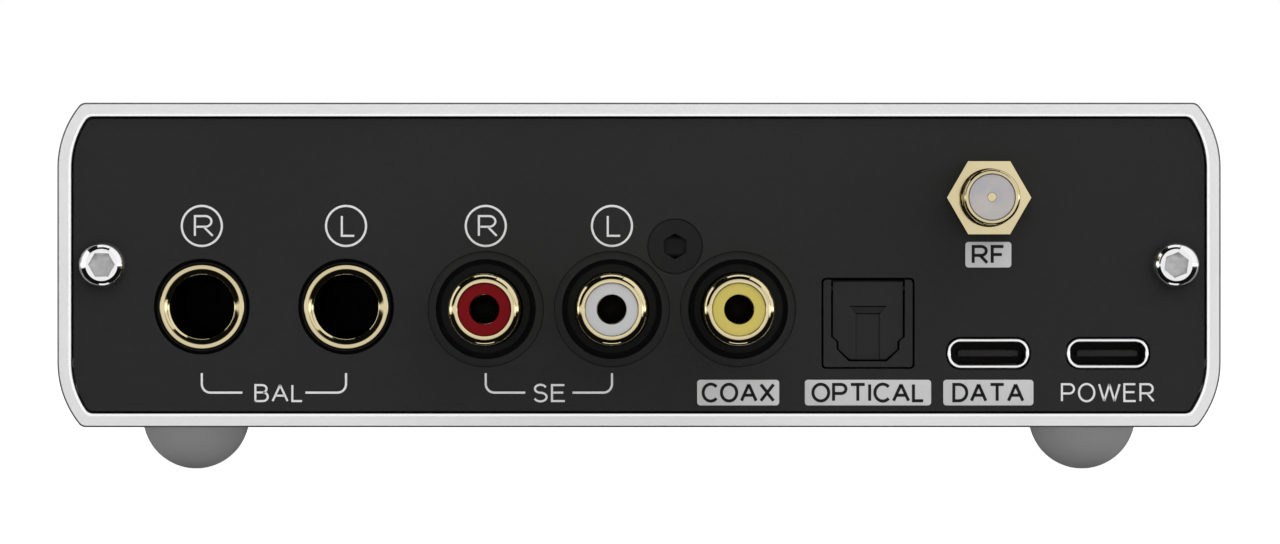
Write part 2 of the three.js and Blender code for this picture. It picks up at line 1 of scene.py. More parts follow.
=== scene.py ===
"""A desktop digital-to-analogue converter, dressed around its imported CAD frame.

Pieces are modelled in millimetres in the row's frame and scaled to metres at the end of each build.
The rear connector panel faces +Y, the front faces -Y and +Z is up. A profile that is turned about Y
holds pairs of a radius and a y place, counted from the point that it is turned about.
"""
import json
import math

import bmesh
import bpy
from mathutils import Matrix, Vector


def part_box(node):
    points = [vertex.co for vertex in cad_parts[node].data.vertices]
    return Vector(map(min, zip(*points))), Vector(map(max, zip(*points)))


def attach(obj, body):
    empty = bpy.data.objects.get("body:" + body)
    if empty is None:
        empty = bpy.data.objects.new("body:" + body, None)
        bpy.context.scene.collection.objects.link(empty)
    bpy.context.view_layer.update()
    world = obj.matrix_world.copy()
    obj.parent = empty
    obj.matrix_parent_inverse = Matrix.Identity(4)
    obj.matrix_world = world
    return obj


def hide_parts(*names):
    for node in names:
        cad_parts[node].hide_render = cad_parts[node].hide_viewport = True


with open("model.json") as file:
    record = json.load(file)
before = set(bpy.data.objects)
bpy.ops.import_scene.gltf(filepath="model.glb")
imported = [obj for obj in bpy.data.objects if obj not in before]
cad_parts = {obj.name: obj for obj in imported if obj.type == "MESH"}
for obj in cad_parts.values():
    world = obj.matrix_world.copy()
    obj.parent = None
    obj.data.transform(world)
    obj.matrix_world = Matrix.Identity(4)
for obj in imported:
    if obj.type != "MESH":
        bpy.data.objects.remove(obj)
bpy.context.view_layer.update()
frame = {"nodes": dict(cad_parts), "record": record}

MM = 0.001
TURN = 2 * math.pi
ORIGIN = Vector((0, 0, 0))
scene = bpy.context.scene

TRS_JACKS = ("trs_right", "trs_left")
PHONO_SOCKETS = ("rca_right", "rca_left", "coax")
USB_PORTS = ("usb_data", "usb_power")
FEET = ("foot_rear_right", "foot_rear_left", "foot_front_right", "foot_front_left")

# ---- sizes that the frame doesn't give

# Case: the side arcs' radius and the height of their centres, and the bands along its cut ends.
WALL = 1.5
SIDE_RADIUS = 11.0
SIDE_ARC_Z = 10.8
CORNER_RADIUS = 1.0
PANEL_GAP = 0.25
OUTER_EDGE = 0.18
INNER_EDGE = 0.26
INNER_EDGE_DEPTH = 0.02
CHANNEL_RADIUS = 3
LEDGE_WIDTH = 2.2
LEDGE_THICKNESS = 1.0
LEDGE_MIDDLE = 1.0
LEDGE_PLAY = 0.1

# Openings in the rear panel: radii, or width, height and corner radius.
TRS_HOLE = 5.3
RCA_HOLE = 5.55
RCA_RECESS = 6.46
RCA_RECESS_DEPTH = 0.3
SCREW_HOLE = 1.6
ANTENNA_HOLE = 3.2
OPTICAL_HOLE = (10.3, 10.08, 0.5)
USB_HOLE = (9.4, 3.62, 1.6)

# Screws, with y places counted from the panel's face.
SCREW_RADIUS = 1.45
SOCKET_FLATS = 2.5
HEAD_TOP = 1.85
HEAD_SOCKET_FLOOR = 0.75
SUNK_TOP = -0.05
SUNK_SOCKET_FLOOR = -1.1

# Feet.
FOOT_RADIUS = 6.0
FOOT_FLAT = 0.5
FOOT_TOP_RADIUS = 5.6

# 6.35 mm jacks.
TRS_BORE = 3.56
TRS_SEAT = 4.76
TRS_BODY_FRONT = -2.1
TRS_SEAT_DEPTH = -3

# Phono sockets: the barrel's shoulder, the collar around it, and the slits of the centre contact.
BARREL_RADIUS = 4.0
SHOULDER_RADIUS = 0.83
COLLAR_BORE = 4.1
INSULATOR_SINK = 0.22
SLIT_WIDTH = 0.3
SLIT_LENGTH = 5

# Optical socket, around its middle: corner radius, depth of its mouth's frame, and the flap's ramp.
OPTICAL_CORNER = 0.35
OPTICAL_FRAME_BACK = -1.9
OPTICAL_KEY_BACK = -10.5
FLAP_PLAY = 0.2
HINGE_RISE = 3.9
RAMP_TOP = 1.94
RAMP_FOOT = 1.07
RAMP_END = -5
RAMP_DEPTH = 0.22

# Data and power sockets.
USB_CORNER = 1.45
USB_WALL = 0.36
USB_TONGUE_BACK = -5.9
USB_TONGUE_FRONT = -0.9
USB_PADS = 12
USB_PAD_PITCH = 0.5
USB_PAD_RISE = 0.345

# Aerial socket.
THREAD_CREST = 3.1
THREAD_DEPTH = 0.2
THREAD_PITCH = 0.7056
THREAD_STEPS = 90
NUT_FLATS = 8.1

# Front.
KNOB_WINDOW = 6.2
BUTTON_WINDOW = 3.65
KNURL_RIBS = 72
KNURL_DEPTH = 0.14
KNURL_STEP = 0.45
POINTER_RISE = 5.6

# Print: ink thickness, line widths, and places counted from the sockets or the case's middle.
INK = 0.02
PRINT_LIFT = 0.004
RULE_LINE = 0.24
TEXT_LINE = 0.23
LABEL_LINE = 0.34
LETTER_GAP = 0.26
RING_RADIUS = 2.22
RING_LETTER_SHIFT = 0.22
TRS_RING_RISE = 8.97
RCA_RING_RISE = 9.23
BRACKET_BEND = 0.95
BRACKET_LEG = 2.16
BRACKET_GAP = 0.8
BRACKET_WORD_DROP = 0.05
LABEL_ROW = -14.16
AERIAL_LABEL_ROW = 1.14
LABEL_HEIGHT = 2.84
LABEL_CORNER = 0.35

# Edges of a flat plate that has to stay sharp.
CRISP = {"edge": 0.001, "edge_steps": 1}

# Camera, straight behind the device.
CAMERA_DISTANCE = 820
CAMERA_LENS = 207.9
CAMERA_DROP = 0.78
CAMERA_SIDE = -0.11

# Floor and room, in metres and as levels of light.
FLOOR_RADIUS = 40
FLOOR_GLOW_START = 0.12
FLOOR_GLOW_END = 0.9
FLOOR_GLOW_NEAR = 0.88
FLOOR_GLOW_FAR = 1.1
FLOOR_BOUNCE = 0.2
ROOM_LEVEL = 0.006
WALL_LEVEL = 0.92
WALL_EDGE = (0.89, 0.96)
HORIZON_LEVEL = 1.06
HORIZON_EDGE = (0.03, 0.10)

# Name, place in metres, width, height and radiance of each panel of light.
SOFTBOXES = (
    ("right_softbox", (-0.85, 0.38, 0.58), 1.3, 1.5, 1.12),
    ("right_front_softbox", (-0.85, 1.5, 0.25), 1.0, 0.95, 1.05),
    ("left_softbox", (0.95, 0.18, 0.30), 0.75, 0.9, 1.2),
    ("top_softbox", (0.0, 0.12, 1.1), 0.75, 0.55, 1.15),
    ("low_strip", (0.0, 0.10, -0.9), 0.5, 0.24, 1.2),
)
FILL_PANEL = ("fill_panel", (0.0, 0.30, 0.35), 0.6, 0.3, 1.65)


def corners(node):
    """Lowest and highest corner of a CAD node, in millimetres."""
    low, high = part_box(node)
    return Vector(low) / MM, Vector(high) / MM


def middle(node):
    """The middle of a CAD node's box, in millimetres."""
    low, high = corners(node)
    return (low + high) / 2


CASE_LOW, CASE_HIGH = corners("case_shell")
CASE_WIDTH = CASE_HIGH.x - CASE_LOW.x
CASE_HEIGHT = CASE_HIGH.z - CASE_LOW.z
CASE_MIDDLE = (CASE_LOW.z + CASE_HIGH.z) / 2
PANEL_LOW, PANEL_HIGH = corners("rear_panel")
REAR_FACE = PANEL_HIGH.y
REAR_INSIDE = PANEL_LOW.y
FASCIA_LOW, FASCIA_HIGH = corners("front_fascia")


def on_rear_face(node):
    """The point of the panel's outer face on the axis of a CAD node."""
    point = middle(node)
    return Vector((point.x, REAR_FACE, point.z))


def reach_from_panel(node):
    """That point, and how far the node stands out from it."""
    return on_rear_face(node), corners(node)[1].y - REAR_FACE


# ---- materials

def new_material(name):
    material = bpy.data.materials.new(name)
    material.use_nodes = True
    return material, material.node_tree.nodes, material.node_tree.links


def set_inputs(node, values):
    """Sets a node's sockets by their names."""
    for name, value in values.items():
        node.inputs[name].default_value = value


def add_noise(nodes, links, scale, detail=3.0, stretch=(1, 1, 1)):
    """Noise in the object's own coordinates. The scale counts features per metre."""
    place = nodes.new("ShaderNodeTexCoord")
    mapping = nodes.new("ShaderNodeMapping")
    set_inputs(mapping, {"Scale": stretch})
    noise = nodes.new("ShaderNodeTexNoise")
    set_inputs(noise, {"Scale": scale, "Detail": detail})
    links.new(place.outputs["Object"], mapping.inputs["Vector"])
    links.new(mapping.outputs["Vector"], noise.inputs["Vector"])
    return noise.outputs["Fac"]


def add_ramp(nodes, links, value, low, high):
    """A colour that runs from low to high as the value does. A single number is a grey."""
    ramp = nodes.new("ShaderNodeValToRGB")
    for stop, position, color in zip(ramp.color_ramp.elements, (0.3, 0.7), (low, high)):
        stop.position = position
        stop.color = (*color, 1) if isinstance(color, tuple) else (color, color, color, 1)
    links.new(value, ramp.inputs["Fac"])
    return ramp.outputs["Color"]


def add_range(nodes, links, value, low, high, start=0.3, end=0.7, interpolation="LINEAR"):
    """A number that runs from low to high as the value runs from start to end."""
    spread = nodes.new("ShaderNodeMapRange")
    spread.interpolation_type = interpolation
    set_inputs(spread, {"From Min": start, "From Max": end, "To Min": low, "To Max": high})
    links.new(value, spread.inputs["Value"])
    return spread.outputs["Result"]


def surface(name, colors, roughness, metallic=0.0, mottle=60, grain=2600, grain_height=0.004,
            stretch=(1, 1, 1), specular=0.5, coat=0.0):
    """A moulded, coated or metal surface: colour and gloss vary slowly, and a fine grain is raised."""
    material, nodes, links = new_material(name)
    shader = nodes["Principled BSDF"]
    slow = add_noise(nodes, links, mottle)
    fine = add_noise(nodes, links, grain, 2.0, stretch)
    links.new(add_ramp(nodes, links, slow, *colors), shader.inputs["Base Color"])
    links.new(add_range(nodes, links, fine, *roughness), shader.inputs["Roughness"])
    set_inputs(shader, {"Metallic": metallic, "Specular IOR Level": specular, "Coat Weight": coat})
    bump = nodes.new("ShaderNodeBump")
    set_inputs(bump, {"Distance": grain_height * MM})
    links.new(fine, bump.inputs["Height"])
    links.new(bump.outputs["Normal"], shader.inputs["Normal"])
    return material


# Name, darkest and lightest colour, smoothest and dullest roughness, and what differs from the usual.
MATERIALS = {
    "case_metal": surface("bead_blasted_aluminium", (0.89, 0.905), (0.40, 0.50), metallic=0.3, grain=3500,
        grain_height=0.012),
    "panel_metal": surface("black_anodised_aluminium", (0.0168, 0.0188), (0.50, 0.62), grain=3000,
        grain_height=0.006, specular=0.25),
    "smoked_acrylic": surface("smoked_acrylic", (0.004, 0.006), (0.03, 0.06), grain=60,
        grain_height=0.0, specular=0.35, coat=0.25),
    "black_plastic": surface("black_moulding", (0.005, 0.008), (0.42, 0.56), grain=2200,
        grain_height=0.008, specular=0.12),
    "satin_plastic": surface("satin_black_moulding", (0.0185, 0.0215), (0.48, 0.60),
        grain_height=0.006, specular=0.22),
    "milled_edge": surface("milled_aluminium", (0.86, 0.88), (0.34, 0.42), metallic=0.35, grain=3500),
    "bright_edge": surface("cut_aluminium", (0.98, 0.99), (0.12, 0.20), metallic=0.9, grain_height=0.002),
    # Painted shade: a near-black finish for the case's outer chamfers, which draws a dark outline around its
    # ends.
    "painted_shade_edge": surface("painted_shade_aluminium", (0.07, 0.10), (0.40, 0.50), grain_height=0.002),
    "foot_rubber": surface("grey_rubber", (0.31, 0.35), (0.62, 0.78), grain=1400,
        grain_height=0.012, specular=0.3),
    "gold_plate": surface("pale_gold_plate", ((0.63, 0.54, 0.325), (0.71, 0.61, 0.375)),
        (0.06, 0.11), metallic=1.0, grain=500, grain_height=0.0006),
    "bright_steel": surface("nickel_plate", (0.78, 0.83), (0.06, 0.13), metallic=1.0, grain=700,
        grain_height=0.0006),
    "black_steel": surface("black_oxide_steel", (0.008, 0.011), (0.42, 0.54), specular=0.2),
    "stainless": surface("brushed_stainless", (0.94, 0.98), (0.12, 0.20), metallic=1.0, grain=1800,
        grain_height=0.002, stretch=(0.1, 1, 1)),
    "red_insulator": surface("red_moulding", ((0.150, 0.003, 0.005), (0.185, 0.005, 0.008)),
        (0.40, 0.52), grain=1800, grain_height=0.003, specular=0.06),
    "white_insulator": surface("white_moulding", (0.51, 0.56), (0.36, 0.48), grain=1800,
        grain_height=0.003, specular=0.2),
    "yellow_insulator": surface("yellow_moulding", ((0.57, 0.475, 0.105), (0.64, 0.53, 0.13)),
        (0.36, 0.48), grain=1800, grain_height=0.003, specular=0.2),
    "milky_plastic": surface("milky_dielectric", ((0.43, 0.42, 0.45), (0.51, 0.475, 0.44)),
        (0.28, 0.42), mottle=500, grain=1500, grain_height=0.002),
    "board_laminate": surface("solder_mask", ((0.004, 0.035, 0.014), (0.008, 0.055, 0.022)),
        (0.28, 0.40), mottle=400, grain=900, grain_height=0.01),
    "display_glass": surface("dark_glass", (0.006, 0.010), (0.04, 0.08), grain=60, grain_height=0.0),
    "cable_jacket": surface("cable_jacket", (0.03, 0.045), (0.45, 0.60), grain=1500, grain_height=0.008),
    "ribbon_film": surface("ribbon_film", (0.50, 0.62), (0.35, 0.50), grain=1000, stretch=(1, 0.05, 0.05)),
    "chip_resin": surface("chip_resin", (0.014, 0.022), (0.50, 0.65), grain=2500, grain_height=0.008),
    "can_metal": surface("drawn_aluminium", (0.70, 0.80), (0.22, 0.34), metallic=1.0, grain=1600,
        grain_height=0.002, stretch=(1, 1, 0.1)),
    "knob_metal": surface("turned_aluminium", (0.78, 0.85), (0.28, 0.40), metallic=1.0),
    "print_ink": surface("white_print", (0.72, 0.78), (0.50, 0.65), grain=4000, specular=0.2),
    "label_ink": surface("light_grey_print", (0.57, 0.62), (0.45, 0.60), grain=4000),
    "socket_steel": surface("broached_steel", (0.70, 0.80), (0.40, 0.52), metallic=1.0, grain=1500,
        grain_height=0.006, stretch=(1, 0.1, 1)),
    "dark_ink": surface("dark_print", (0.008, 0.012), (0.45, 0.60), grain=4000, specular=0.2),
}

NODE_SLOTS = {row["node"]: row["material_slot"] for row in frame["record"]["subparts"]}
NODE_BODIES = {
    node: body
    for body, members in frame["record"]["behaviour"]["bodies"].items()
    for node in members
}


# ---- mesh helpers

def link_object(name, data):
    """A new object in the scene."""
    holder = bpy.data.objects.new(name, data)
    scene.collection.objects.link(holder)
    return holder


def evaluated_mesh(holder):
    """The mesh of an object as its curve settings or modifiers make it."""
    bpy.context.view_layer.update()
    depsgraph = bpy.context.evaluated_depsgraph_get()
    return bpy.data.meshes.new_from_object(holder.evaluated_get(depsgraph))


def link_mesh(name, mesh, sharp_angle=38):
    """Scales a mesh from millimetres to metres and shades it smooth up to the sharp angle."""
    mesh.transform(Matrix.Scale(MM, 4))
    mesh.polygons.foreach_set("use_smooth", [True] * len(mesh.polygons))
    mesh.set_sharp_from_angle(angle=math.radians(sharp_angle))
    return link_object(name, mesh)


def mesh_of(build):
    """A mesh from a bmesh that has just been filled."""
    bmesh.ops.recalc_face_normals(build, faces=build.faces)
    mesh = bpy.data.meshes.new("shape")
    build.to_mesh(mesh)
    build.free()
    return mesh


def join(meshes):
    """One mesh that holds several closed shells."""
    whole = bmesh.new()
    for mesh in meshes:
        whole.from_mesh(mesh)
        bpy.data.meshes.remove(mesh)
    joined = bpy.data.meshes.new("shape")
    whole.to_mesh(joined)
    whole.free()
    return joined


def bridge(build, ring, next_ring, finish=0):
    """Faces between two rings of vertices. A ring of one vertex is a point on the axis."""
    if len(ring) == 1 and len(next_ring) == 1:
        return
    count = max(len(ring), len(next_ring))
    for index in range(count):
        after = (index + 1) % count
        if len(ring) == 1:
            face = build.faces.new((ring[0], next_ring[index], next_ring[after]))
        elif len(next_ring) == 1:
            face = build.faces.new((ring[index], next_ring[0], ring[after]))
        else:
            face = build.faces.new((ring[index], next_ring[index], next_ring[after], ring[after]))
        face.material_index = finish


def revolve(profile, at, steps=96, radius_at=None):
    """A profile turned about Y through a point. For knurls and threads, radius_at changes its radii."""
    build = bmesh.new()
    rings = []
    for radius, y in profile:
        if radius == 0:
            rings.append([build.verts.new((at.x, at.y + y, at.z))])
            continue
        ring = []
        for step in range(steps):
            angle = TURN * step / steps
            reach = radius_at(radius, y, angle) if radius_at else radius
            offset = (at.x + reach * math.cos(angle), at.y + y, at.z + reach * math.sin(angle))
            ring.append(build.verts.new(offset))
        rings.append(ring)
    for ring, next_ring in zip(rings, rings[1:]):
        bridge(build, ring, next_ring)
    if profile[0][0] and profile[-1][0]:
        bridge(build, rings[-1], rings[0])
    return mesh_of(build)


def arc(x, y, radius, start, end, steps, squeeze=1.0):
    """Points on an arc, in degrees. The squeeze scales its height."""
    points = []
    for step in range(steps + 1):
        angle = math.radians(start + (end - start) * step / steps)
        points.append((x + radius * math.cos(angle), y + squeeze * radius * math.sin(angle)))
    return points


def mirrored(right):
    """An outline from its right half."""
    return right + [(-x, z) for x, z in reversed(right)]


def mirror_quarter(quarter):
    """The whole outline from its first quarter."""
    upper = mirrored(quarter)
    return upper + [(x, -z) for x, z in reversed(upper)]


def case_outline(inset):
    """The case's section, moved inwards by the inset, around its own middle."""
    arc_x = CASE_WIDTH / 2 - SIDE_RADIUS
    radius = SIDE_RADIUS - inset
    rounding_z = CASE_HEIGHT / 2 - inset - CORNER_RADIUS
    rise = rounding_z - SIDE_ARC_Z
    run = math.sqrt((radius - CORNER_RADIUS) ** 2 - rise ** 2)
    meeting = math.degrees(math.atan2(rise, run))
    quarter = arc(arc_x, SIDE_ARC_Z, radius, 0, meeting, 14)
    quarter += arc(arc_x + run, rounding_z, CORNER_RADIUS, meeting, 90, 6)[1:]
    return mirror_quarter(quarter)


def rounded_rectangle(width, height, radius, steps=8):
    """An outline around the origin, as the next two are."""
    return mirror_quarter(arc(width / 2 - radius, height / 2 - radius, radius, 0, 90, steps))


def circle(radius, steps=96):
    return arc(0, 0, radius, 0, 360 - 360 / steps, steps - 1)


def hexagon(across_flats, turn=0):
    return arc(0, 0, across_flats / math.sqrt(3), turn, turn + 300, 5)


def moved(outline, x, z):
    """The outline with its middle at a place."""
    return [(px + x, pz + z) for px, pz in outline]


def plate(outlines, back, front, edge=0.08, edge_steps=2):
    """A flat piece between two y places, from one outer outline and any holes, with rounded edges."""
    curve = bpy.data.curves.new("outline", "CURVE")
    curve.dimensions = "2D"
    curve.fill_mode = "BOTH"
    for outline in outlines:
        spline = curve.splines.new("POLY")
        spline.points.add(len(outline) - 1)
        for point, (x, z) in zip(spline.points, outline):
            point.co = (x, z, 0, 1)
        spline.use_cyclic_u = True
    curve.extrude = (front - back) / 2 - edge
    curve.bevel_depth = edge
    curve.bevel_resolution = edge_steps
    curve.offset = -edge
    holder = link_object("outline", curve)
    mesh = evaluated_mesh(holder)
    bpy.data.objects.remove(holder)
    bpy.data.curves.remove(curve)
    mesh.transform(Matrix(((1, 0, 0, 0), (0, 0, -1, (front + back) / 2), (0, 1, 0, 0), (0, 0, 0, 1))))
    build = bmesh.new()
    build.from_mesh(mesh)
    bpy.data.meshes.remove(mesh)
    bmesh.ops.remove_doubles(build, verts=build.verts, dist=1e-4)
    return mesh_of(build)


def boolean(mesh, tools, operation):
    """Cuts one mesh by others, or keeps what they share."""
    body = link_object("body", mesh)
    for tool_mesh in tools:
        tool = link_object("tool", tool_mesh)
        step = body.modifiers.new("boolean", "BOOLEAN")
        step.operation = operation
        step.solver = "EXACT"
        step.object = tool
        body.data = evaluated_mesh(body)
        body.modifiers.clear()
        bpy.data.objects.remove(tool)
        bpy.data.meshes.remove(tool_mesh)
    result = body.data
    bpy.data.objects.remove(body)
    return result


def carve(mesh, *tools):
    """The mesh without what the tools take up."""
    return boolean(mesh, tools, "DIFFERENCE")


def soften(piece, width, angle):
    """Rounds the edges sharper than the angle, so that they catch the light."""
    bevel = piece.modifiers.new("edges", "BEVEL")
    bevel.width = width * MM
    bevel.segments = 2
    bevel.limit_method = "ANGLE"
    bevel.angle_limit = math.radians(angle)


def level_shading(piece):
    """Keeps flat faces flat beside rounded edges."""
    normals = piece.modifiers.new("normals", "WEIGHTED_NORMAL")
    normals.keep_sharp = True


def dress(piece, node, finish=None):
    """Gives a new piece its material and its body, and hides the CAD node that it stands for."""
    slot = NODE_SLOTS[node]
    piece.data.materials.append(MATERIALS[finish or slot])
    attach(piece, NODE_BODIES[node])
    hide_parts(node)
    return piece


def add_piece(name, mesh, node, sharp_angle=38, finish=None):
    """A new piece that stands for a CAD node, with its flat faces kept flat."""
    piece = dress(link_mesh(name, mesh, sharp_angle), node, finish)
    level_shading(piece)
    return piece


def trim(piece, material, body_node):
    """Gives an extra piece, such as print, its material and body without replacing a CAD node."""
    piece.data.materials.append(MATERIALS[material])
    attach(piece, NODE_BODIES[body_node])


def turned(mesh, axis, place):
    """Turns a mesh made about Y at the origin by a right angle, and moves it to its place."""
    mesh.transform(Matrix.Translation(place) @ Matrix.Rotation(math.pi / 2, 4, axis))
    return mesh


# ---- case and panels

def inner_rails(side):
    """The screw channel and the two board ledges inside one end wall of the case."""
    channel = middle("rear_case_screw_right")
    board_low, board_high = corners("main_board")
    span = (corners("front_carrier")[1].y, REAR_INSIDE)
    tube = [
        (SCREW_HOLE, span[0]), (CHANNEL_RADIUS, span[0]),
        (CHANNEL_RADIUS, span[1]), (SCREW_HOLE, span[1]),
    ]
    rails = [revolve(tube, Vector((side * channel.x, 0, channel.z)), 32)]
    wall_inside = CASE_WIDTH / 2 - WALL
    reach = LEDGE_PLAY + LEDGE_THICKNESS
    for low, high in (
        (board_high.z + LEDGE_PLAY, board_high.z + reach),
        (board_low.z - reach, board_low.z - LEDGE_PLAY),
    ):
        ledge = rounded_rectangle(LEDGE_WIDTH, high - low, 0.2, 2)
        ledge = moved(ledge, side * (wall_inside - LEDGE_MIDDLE), (low + high) / 2)
        rails.append(plate([ledge], *span))
    return rails


def build_case():
    """The extrusion as one closed loft with deburred ends, and the rails inside it."""
    build = bmesh.new()
    half = CASE_HIGH.y
    rear_end = [
        (WALL, half - INNER_EDGE_DEPTH), (WALL - INNER_EDGE, half),
        (OUTER_EDGE, half), (0, half - OUTER_EDGE),
    ]
    rings = []
    for inset, y in rear_end + [(inset, -y) for inset, y in reversed(rear_end)]:
        outline = moved(case_outline(inset), 0, CASE_MIDDLE)
        rings.append([build.verts.new((x, y, z)) for x, z in outline])
    wall, milled, bright, shaded = range(4)
    # The outer chamfers take the near-black finish, a painted shaded outline; the inner ones take the bright
    # cut finish.
    finishes = (bright, milled, shaded, wall, shaded, milled, bright, wall)
    for index, ring in enumerate(rings):
        bridge(build, ring, rings[(index + 1) % len(rings)], finishes[index])
    shells = [mesh_of(build)] + inner_rails(-1) + inner_rails(1)
    piece = add_piece("case", join(shells), "case_shell")
    for finish in ("milled_edge", "bright_edge", "painted_shade_edge"):
        piece.data.materials.append(MATERIALS[finish])


def build_rear_panel():
    """The black plate with its openings. Those of the phono sockets have a wide shallow recess."""
    openings = [(f"{name}_ferrule", circle(TRS_HOLE)) for name in TRS_JACKS]
    openings += [(f"{name}_barrel", circle(RCA_HOLE)) for name in PHONO_SOCKETS]
    openings.append(("optical_housing", rounded_rectangle(*OPTICAL_HOLE)))
    openings += [(f"{name}_shell", rounded_rectangle(*USB_HOLE)) for name in USB_PORTS]
    openings.append(("antenna_jack_body", circle(ANTENNA_HOLE, 48)))
    for screw in ("rear_case_screw_right", "rear_case_screw_left", "rear_centre_screw"):
        openings.append((screw, circle(SCREW_HOLE, 48)))
    outlines = [moved(case_outline(WALL + PANEL_GAP), 0, CASE_MIDDLE)]
    for node, opening in openings:
        at = middle(node)
        outlines.append(moved(opening, at.x, at.z))
    mesh = plate(outlines, REAR_INSIDE, REAR_FACE, 0.1)
    recess = [
        (0, -RCA_RECESS_DEPTH), (RCA_RECESS - 0.08, -RCA_RECESS_DEPTH),
        (RCA_RECESS, 0.06), (0, 0.06),
    ]
    cutters = [revolve(recess, on_rear_face(f"{name}_barrel")) for name in PHONO_SOCKETS]
    countersink = [(0, -1.5), (SCREW_HOLE, -1.5), (2.9, -0.3), (3.1, -0.3), (3.1, 0.1), (0, 0.1)]
    cutters.append(revolve(countersink, on_rear_face("rear_centre_screw")))
    add_piece("rear_panel_plate", carve(mesh, join(cutters)), "rear_panel", 30)


# ---- screws

def socket(at, bottom, top, turn):
    """A cutter for a hexagon socket."""
    outline = moved(hexagon(SOCKET_FLATS, turn), at.x, at.z)
    return plate([outline], at.y + bottom, at.y + top, **CRISP)


def line_socket(piece, at):
    """Gives the walls of a case screw's socket their own duller finish."""
    piece.data.materials.append(MATERIALS["socket_steel"])
    reach = SOCKET_FLATS / 2 + 0.1
    for face in piece.data.polygons:
        centre = face.center / MM - at
        inside = HEAD_SOCKET_FLOOR - 0.05 < centre.y < HEAD_TOP - 0.15
        if inside and math.hypot(centre.x, centre.z) < reach:
            face.material_index = 1


def build_case_screw(name, turn):
    """A bright pan head: a flat ring around the socket, then a dome down to a short rim."""
    at = on_rear_face(name)
    profile = [(0, -7.9), (1.2, -7.9), (SCREW_RADIUS, -7.5), (SCREW_RADIUS, 0), (2.55, 0), (2.64, 0.09)]
    profile += arc(0.97, 0.33, 1.72, 14, 62, 16) + [(1.72, HEAD_TOP), (0, HEAD_TOP)]
    mesh = carve(revolve(profile, at), socket(at, HEAD_SOCKET_FLOOR, 3, turn))
    piece = link_mesh(f"{name}_piece", mesh, 20)
    line_socket(dress(piece, name), at)
    soften(piece, 0.04, 50)
    level_shading(piece)


def build_centre_screw():
    """A black countersunk head, flush with the panel."""
    at = on_rear_face("rear_centre_screw")
    profile = [(0, -8), (1.1, -8), (SCREW_RADIUS, -7.5), (SCREW_RADIUS, -1.6)]
    profile += [(2.7, -0.3), (2.96, -0.28), (2.96, SUNK_TOP), (0, SUNK_TOP)]
    mesh = carve(revolve(profile, at), socket(at, SUNK_SOCKET_FLOOR, 1, 90))
    piece = link_mesh("rear_centre_screw_piece", mesh, 32)
    soften(piece, 0.04, 40)
    level_shading(dress(piece, "rear_centre_screw"))


# ---- feet

def build_foot(node):
    """A rubber dome with a small flat at its pole."""
    low, high = corners(node)
    centre = (low + high) / 2
    height = high.z - low.z
    pole = math.degrees(math.asin(FOOT_FLAT / FOOT_RADIUS)) - 90
    rim = math.degrees(math.asin((height - FOOT_RADIUS) / FOOT_RADIUS))
    dome = arc(0, FOOT_RADIUS, FOOT_RADIUS, pole, rim, 28)
    flat_y = dome[0][1]
    profile = [(0, flat_y)] + dome + [(FOOT_TOP_RADIUS, height), (0, height)]
    mesh = turned(revolve(profile, ORIGIN), "X", (centre.x, centre.y, low.z - flat_y))
    add_piece(f"{node}_piece", mesh, node, 50)


# ---- 6.35 mm jacks

def build_trs_body(name):
    """The plastic body, with a nose that fills the panel's hole around the ferrule."""
    at = on_rear_face(f"{name}_ferrule")
    low, high = corners(f"{name}_housing")
    outline = rounded_rectangle(high.x - low.x, high.z - low.z, 0.6, 4)
    outline = moved(outline, at.x, (high.z + low.z) / 2)
    bore = moved(circle(TRS_BORE, 64), at.x, at.z)
    seat = moved(circle(TRS_SEAT, 64), at.x, at.z)
    seat_back = at.y + TRS_SEAT_DEPTH
    nose = [
        (TRS_SEAT, TRS_BODY_FRONT), (4.95, TRS_BODY_FRONT), (4.95, -0.06), (4.89, 0), (4.80, 0),
        (TRS_SEAT, -0.04),
    ]
    shells = [
        plate([outline], low.y, low.y + 2),
        plate([outline, bore], low.y + 2, seat_back),
        plate([outline, seat], seat_back, at.y + TRS_BODY_FRONT),
        revolve(nose, at),
    ]
    dress(link_mesh(f"{name}_body", join(shells)), f"{name}_housing")


def build_trs_ferrule(name):
    """The gold ring that leads the plug in: a hollow slope, then a rounded lip."""
    at = on_rear_face(f"{name}_ferrule")
    slope = arc(4.548, -1.632, 1.657, 100, 122, 10)
    lip = arc(3.805, -0.472, 0.28, 119, 180, 12)
    profile = [(4.7, -2.9), (4.7, -0.08), (4.66, -0.02), (4.6, 0.0)] + slope + lip + [(3.525, -2.9)]
    add_piece(f"{name}_ferrule_piece", revolve(profile, at, 128), f"{name}_ferrule", 22)


# ---- phono sockets

def build_rca_block():
    """The black block behind the panel, with a collar around each barrel."""
    low, high = corners("rca_block_housing")
    block = rounded_rectangle(high.x - low.x, high.z - low.z, 0.8, 4)
    screw = middle("rear_centre_screw")
    outlines = [
        moved(block, (low.x + high.x) / 2, (low.z + high.z) / 2),
        moved(circle(SCREW_HOLE, 32), screw.x, screw.z),
    ]
    collar = [
        (COLLAR_BORE, -2.1), (5.0, -2.1), (5.0, -0.35), (4.85, -0.2), (4.16, -0.2),
        (COLLAR_BORE, -0.26),
    ]
    shells = []
    for name in PHONO_SOCKETS:
        at = on_rear_face(f"{name}_barrel")
        outlines.append(moved(circle(COLLAR_BORE, 64), at.x, at.z))
        shells.append(revolve(collar, at))
    shells.append(plate(outlines, low.y, REAR_INSIDE - 0.1))
    add_piece("rca_block", join(shells), "rca_block_housing", 30)


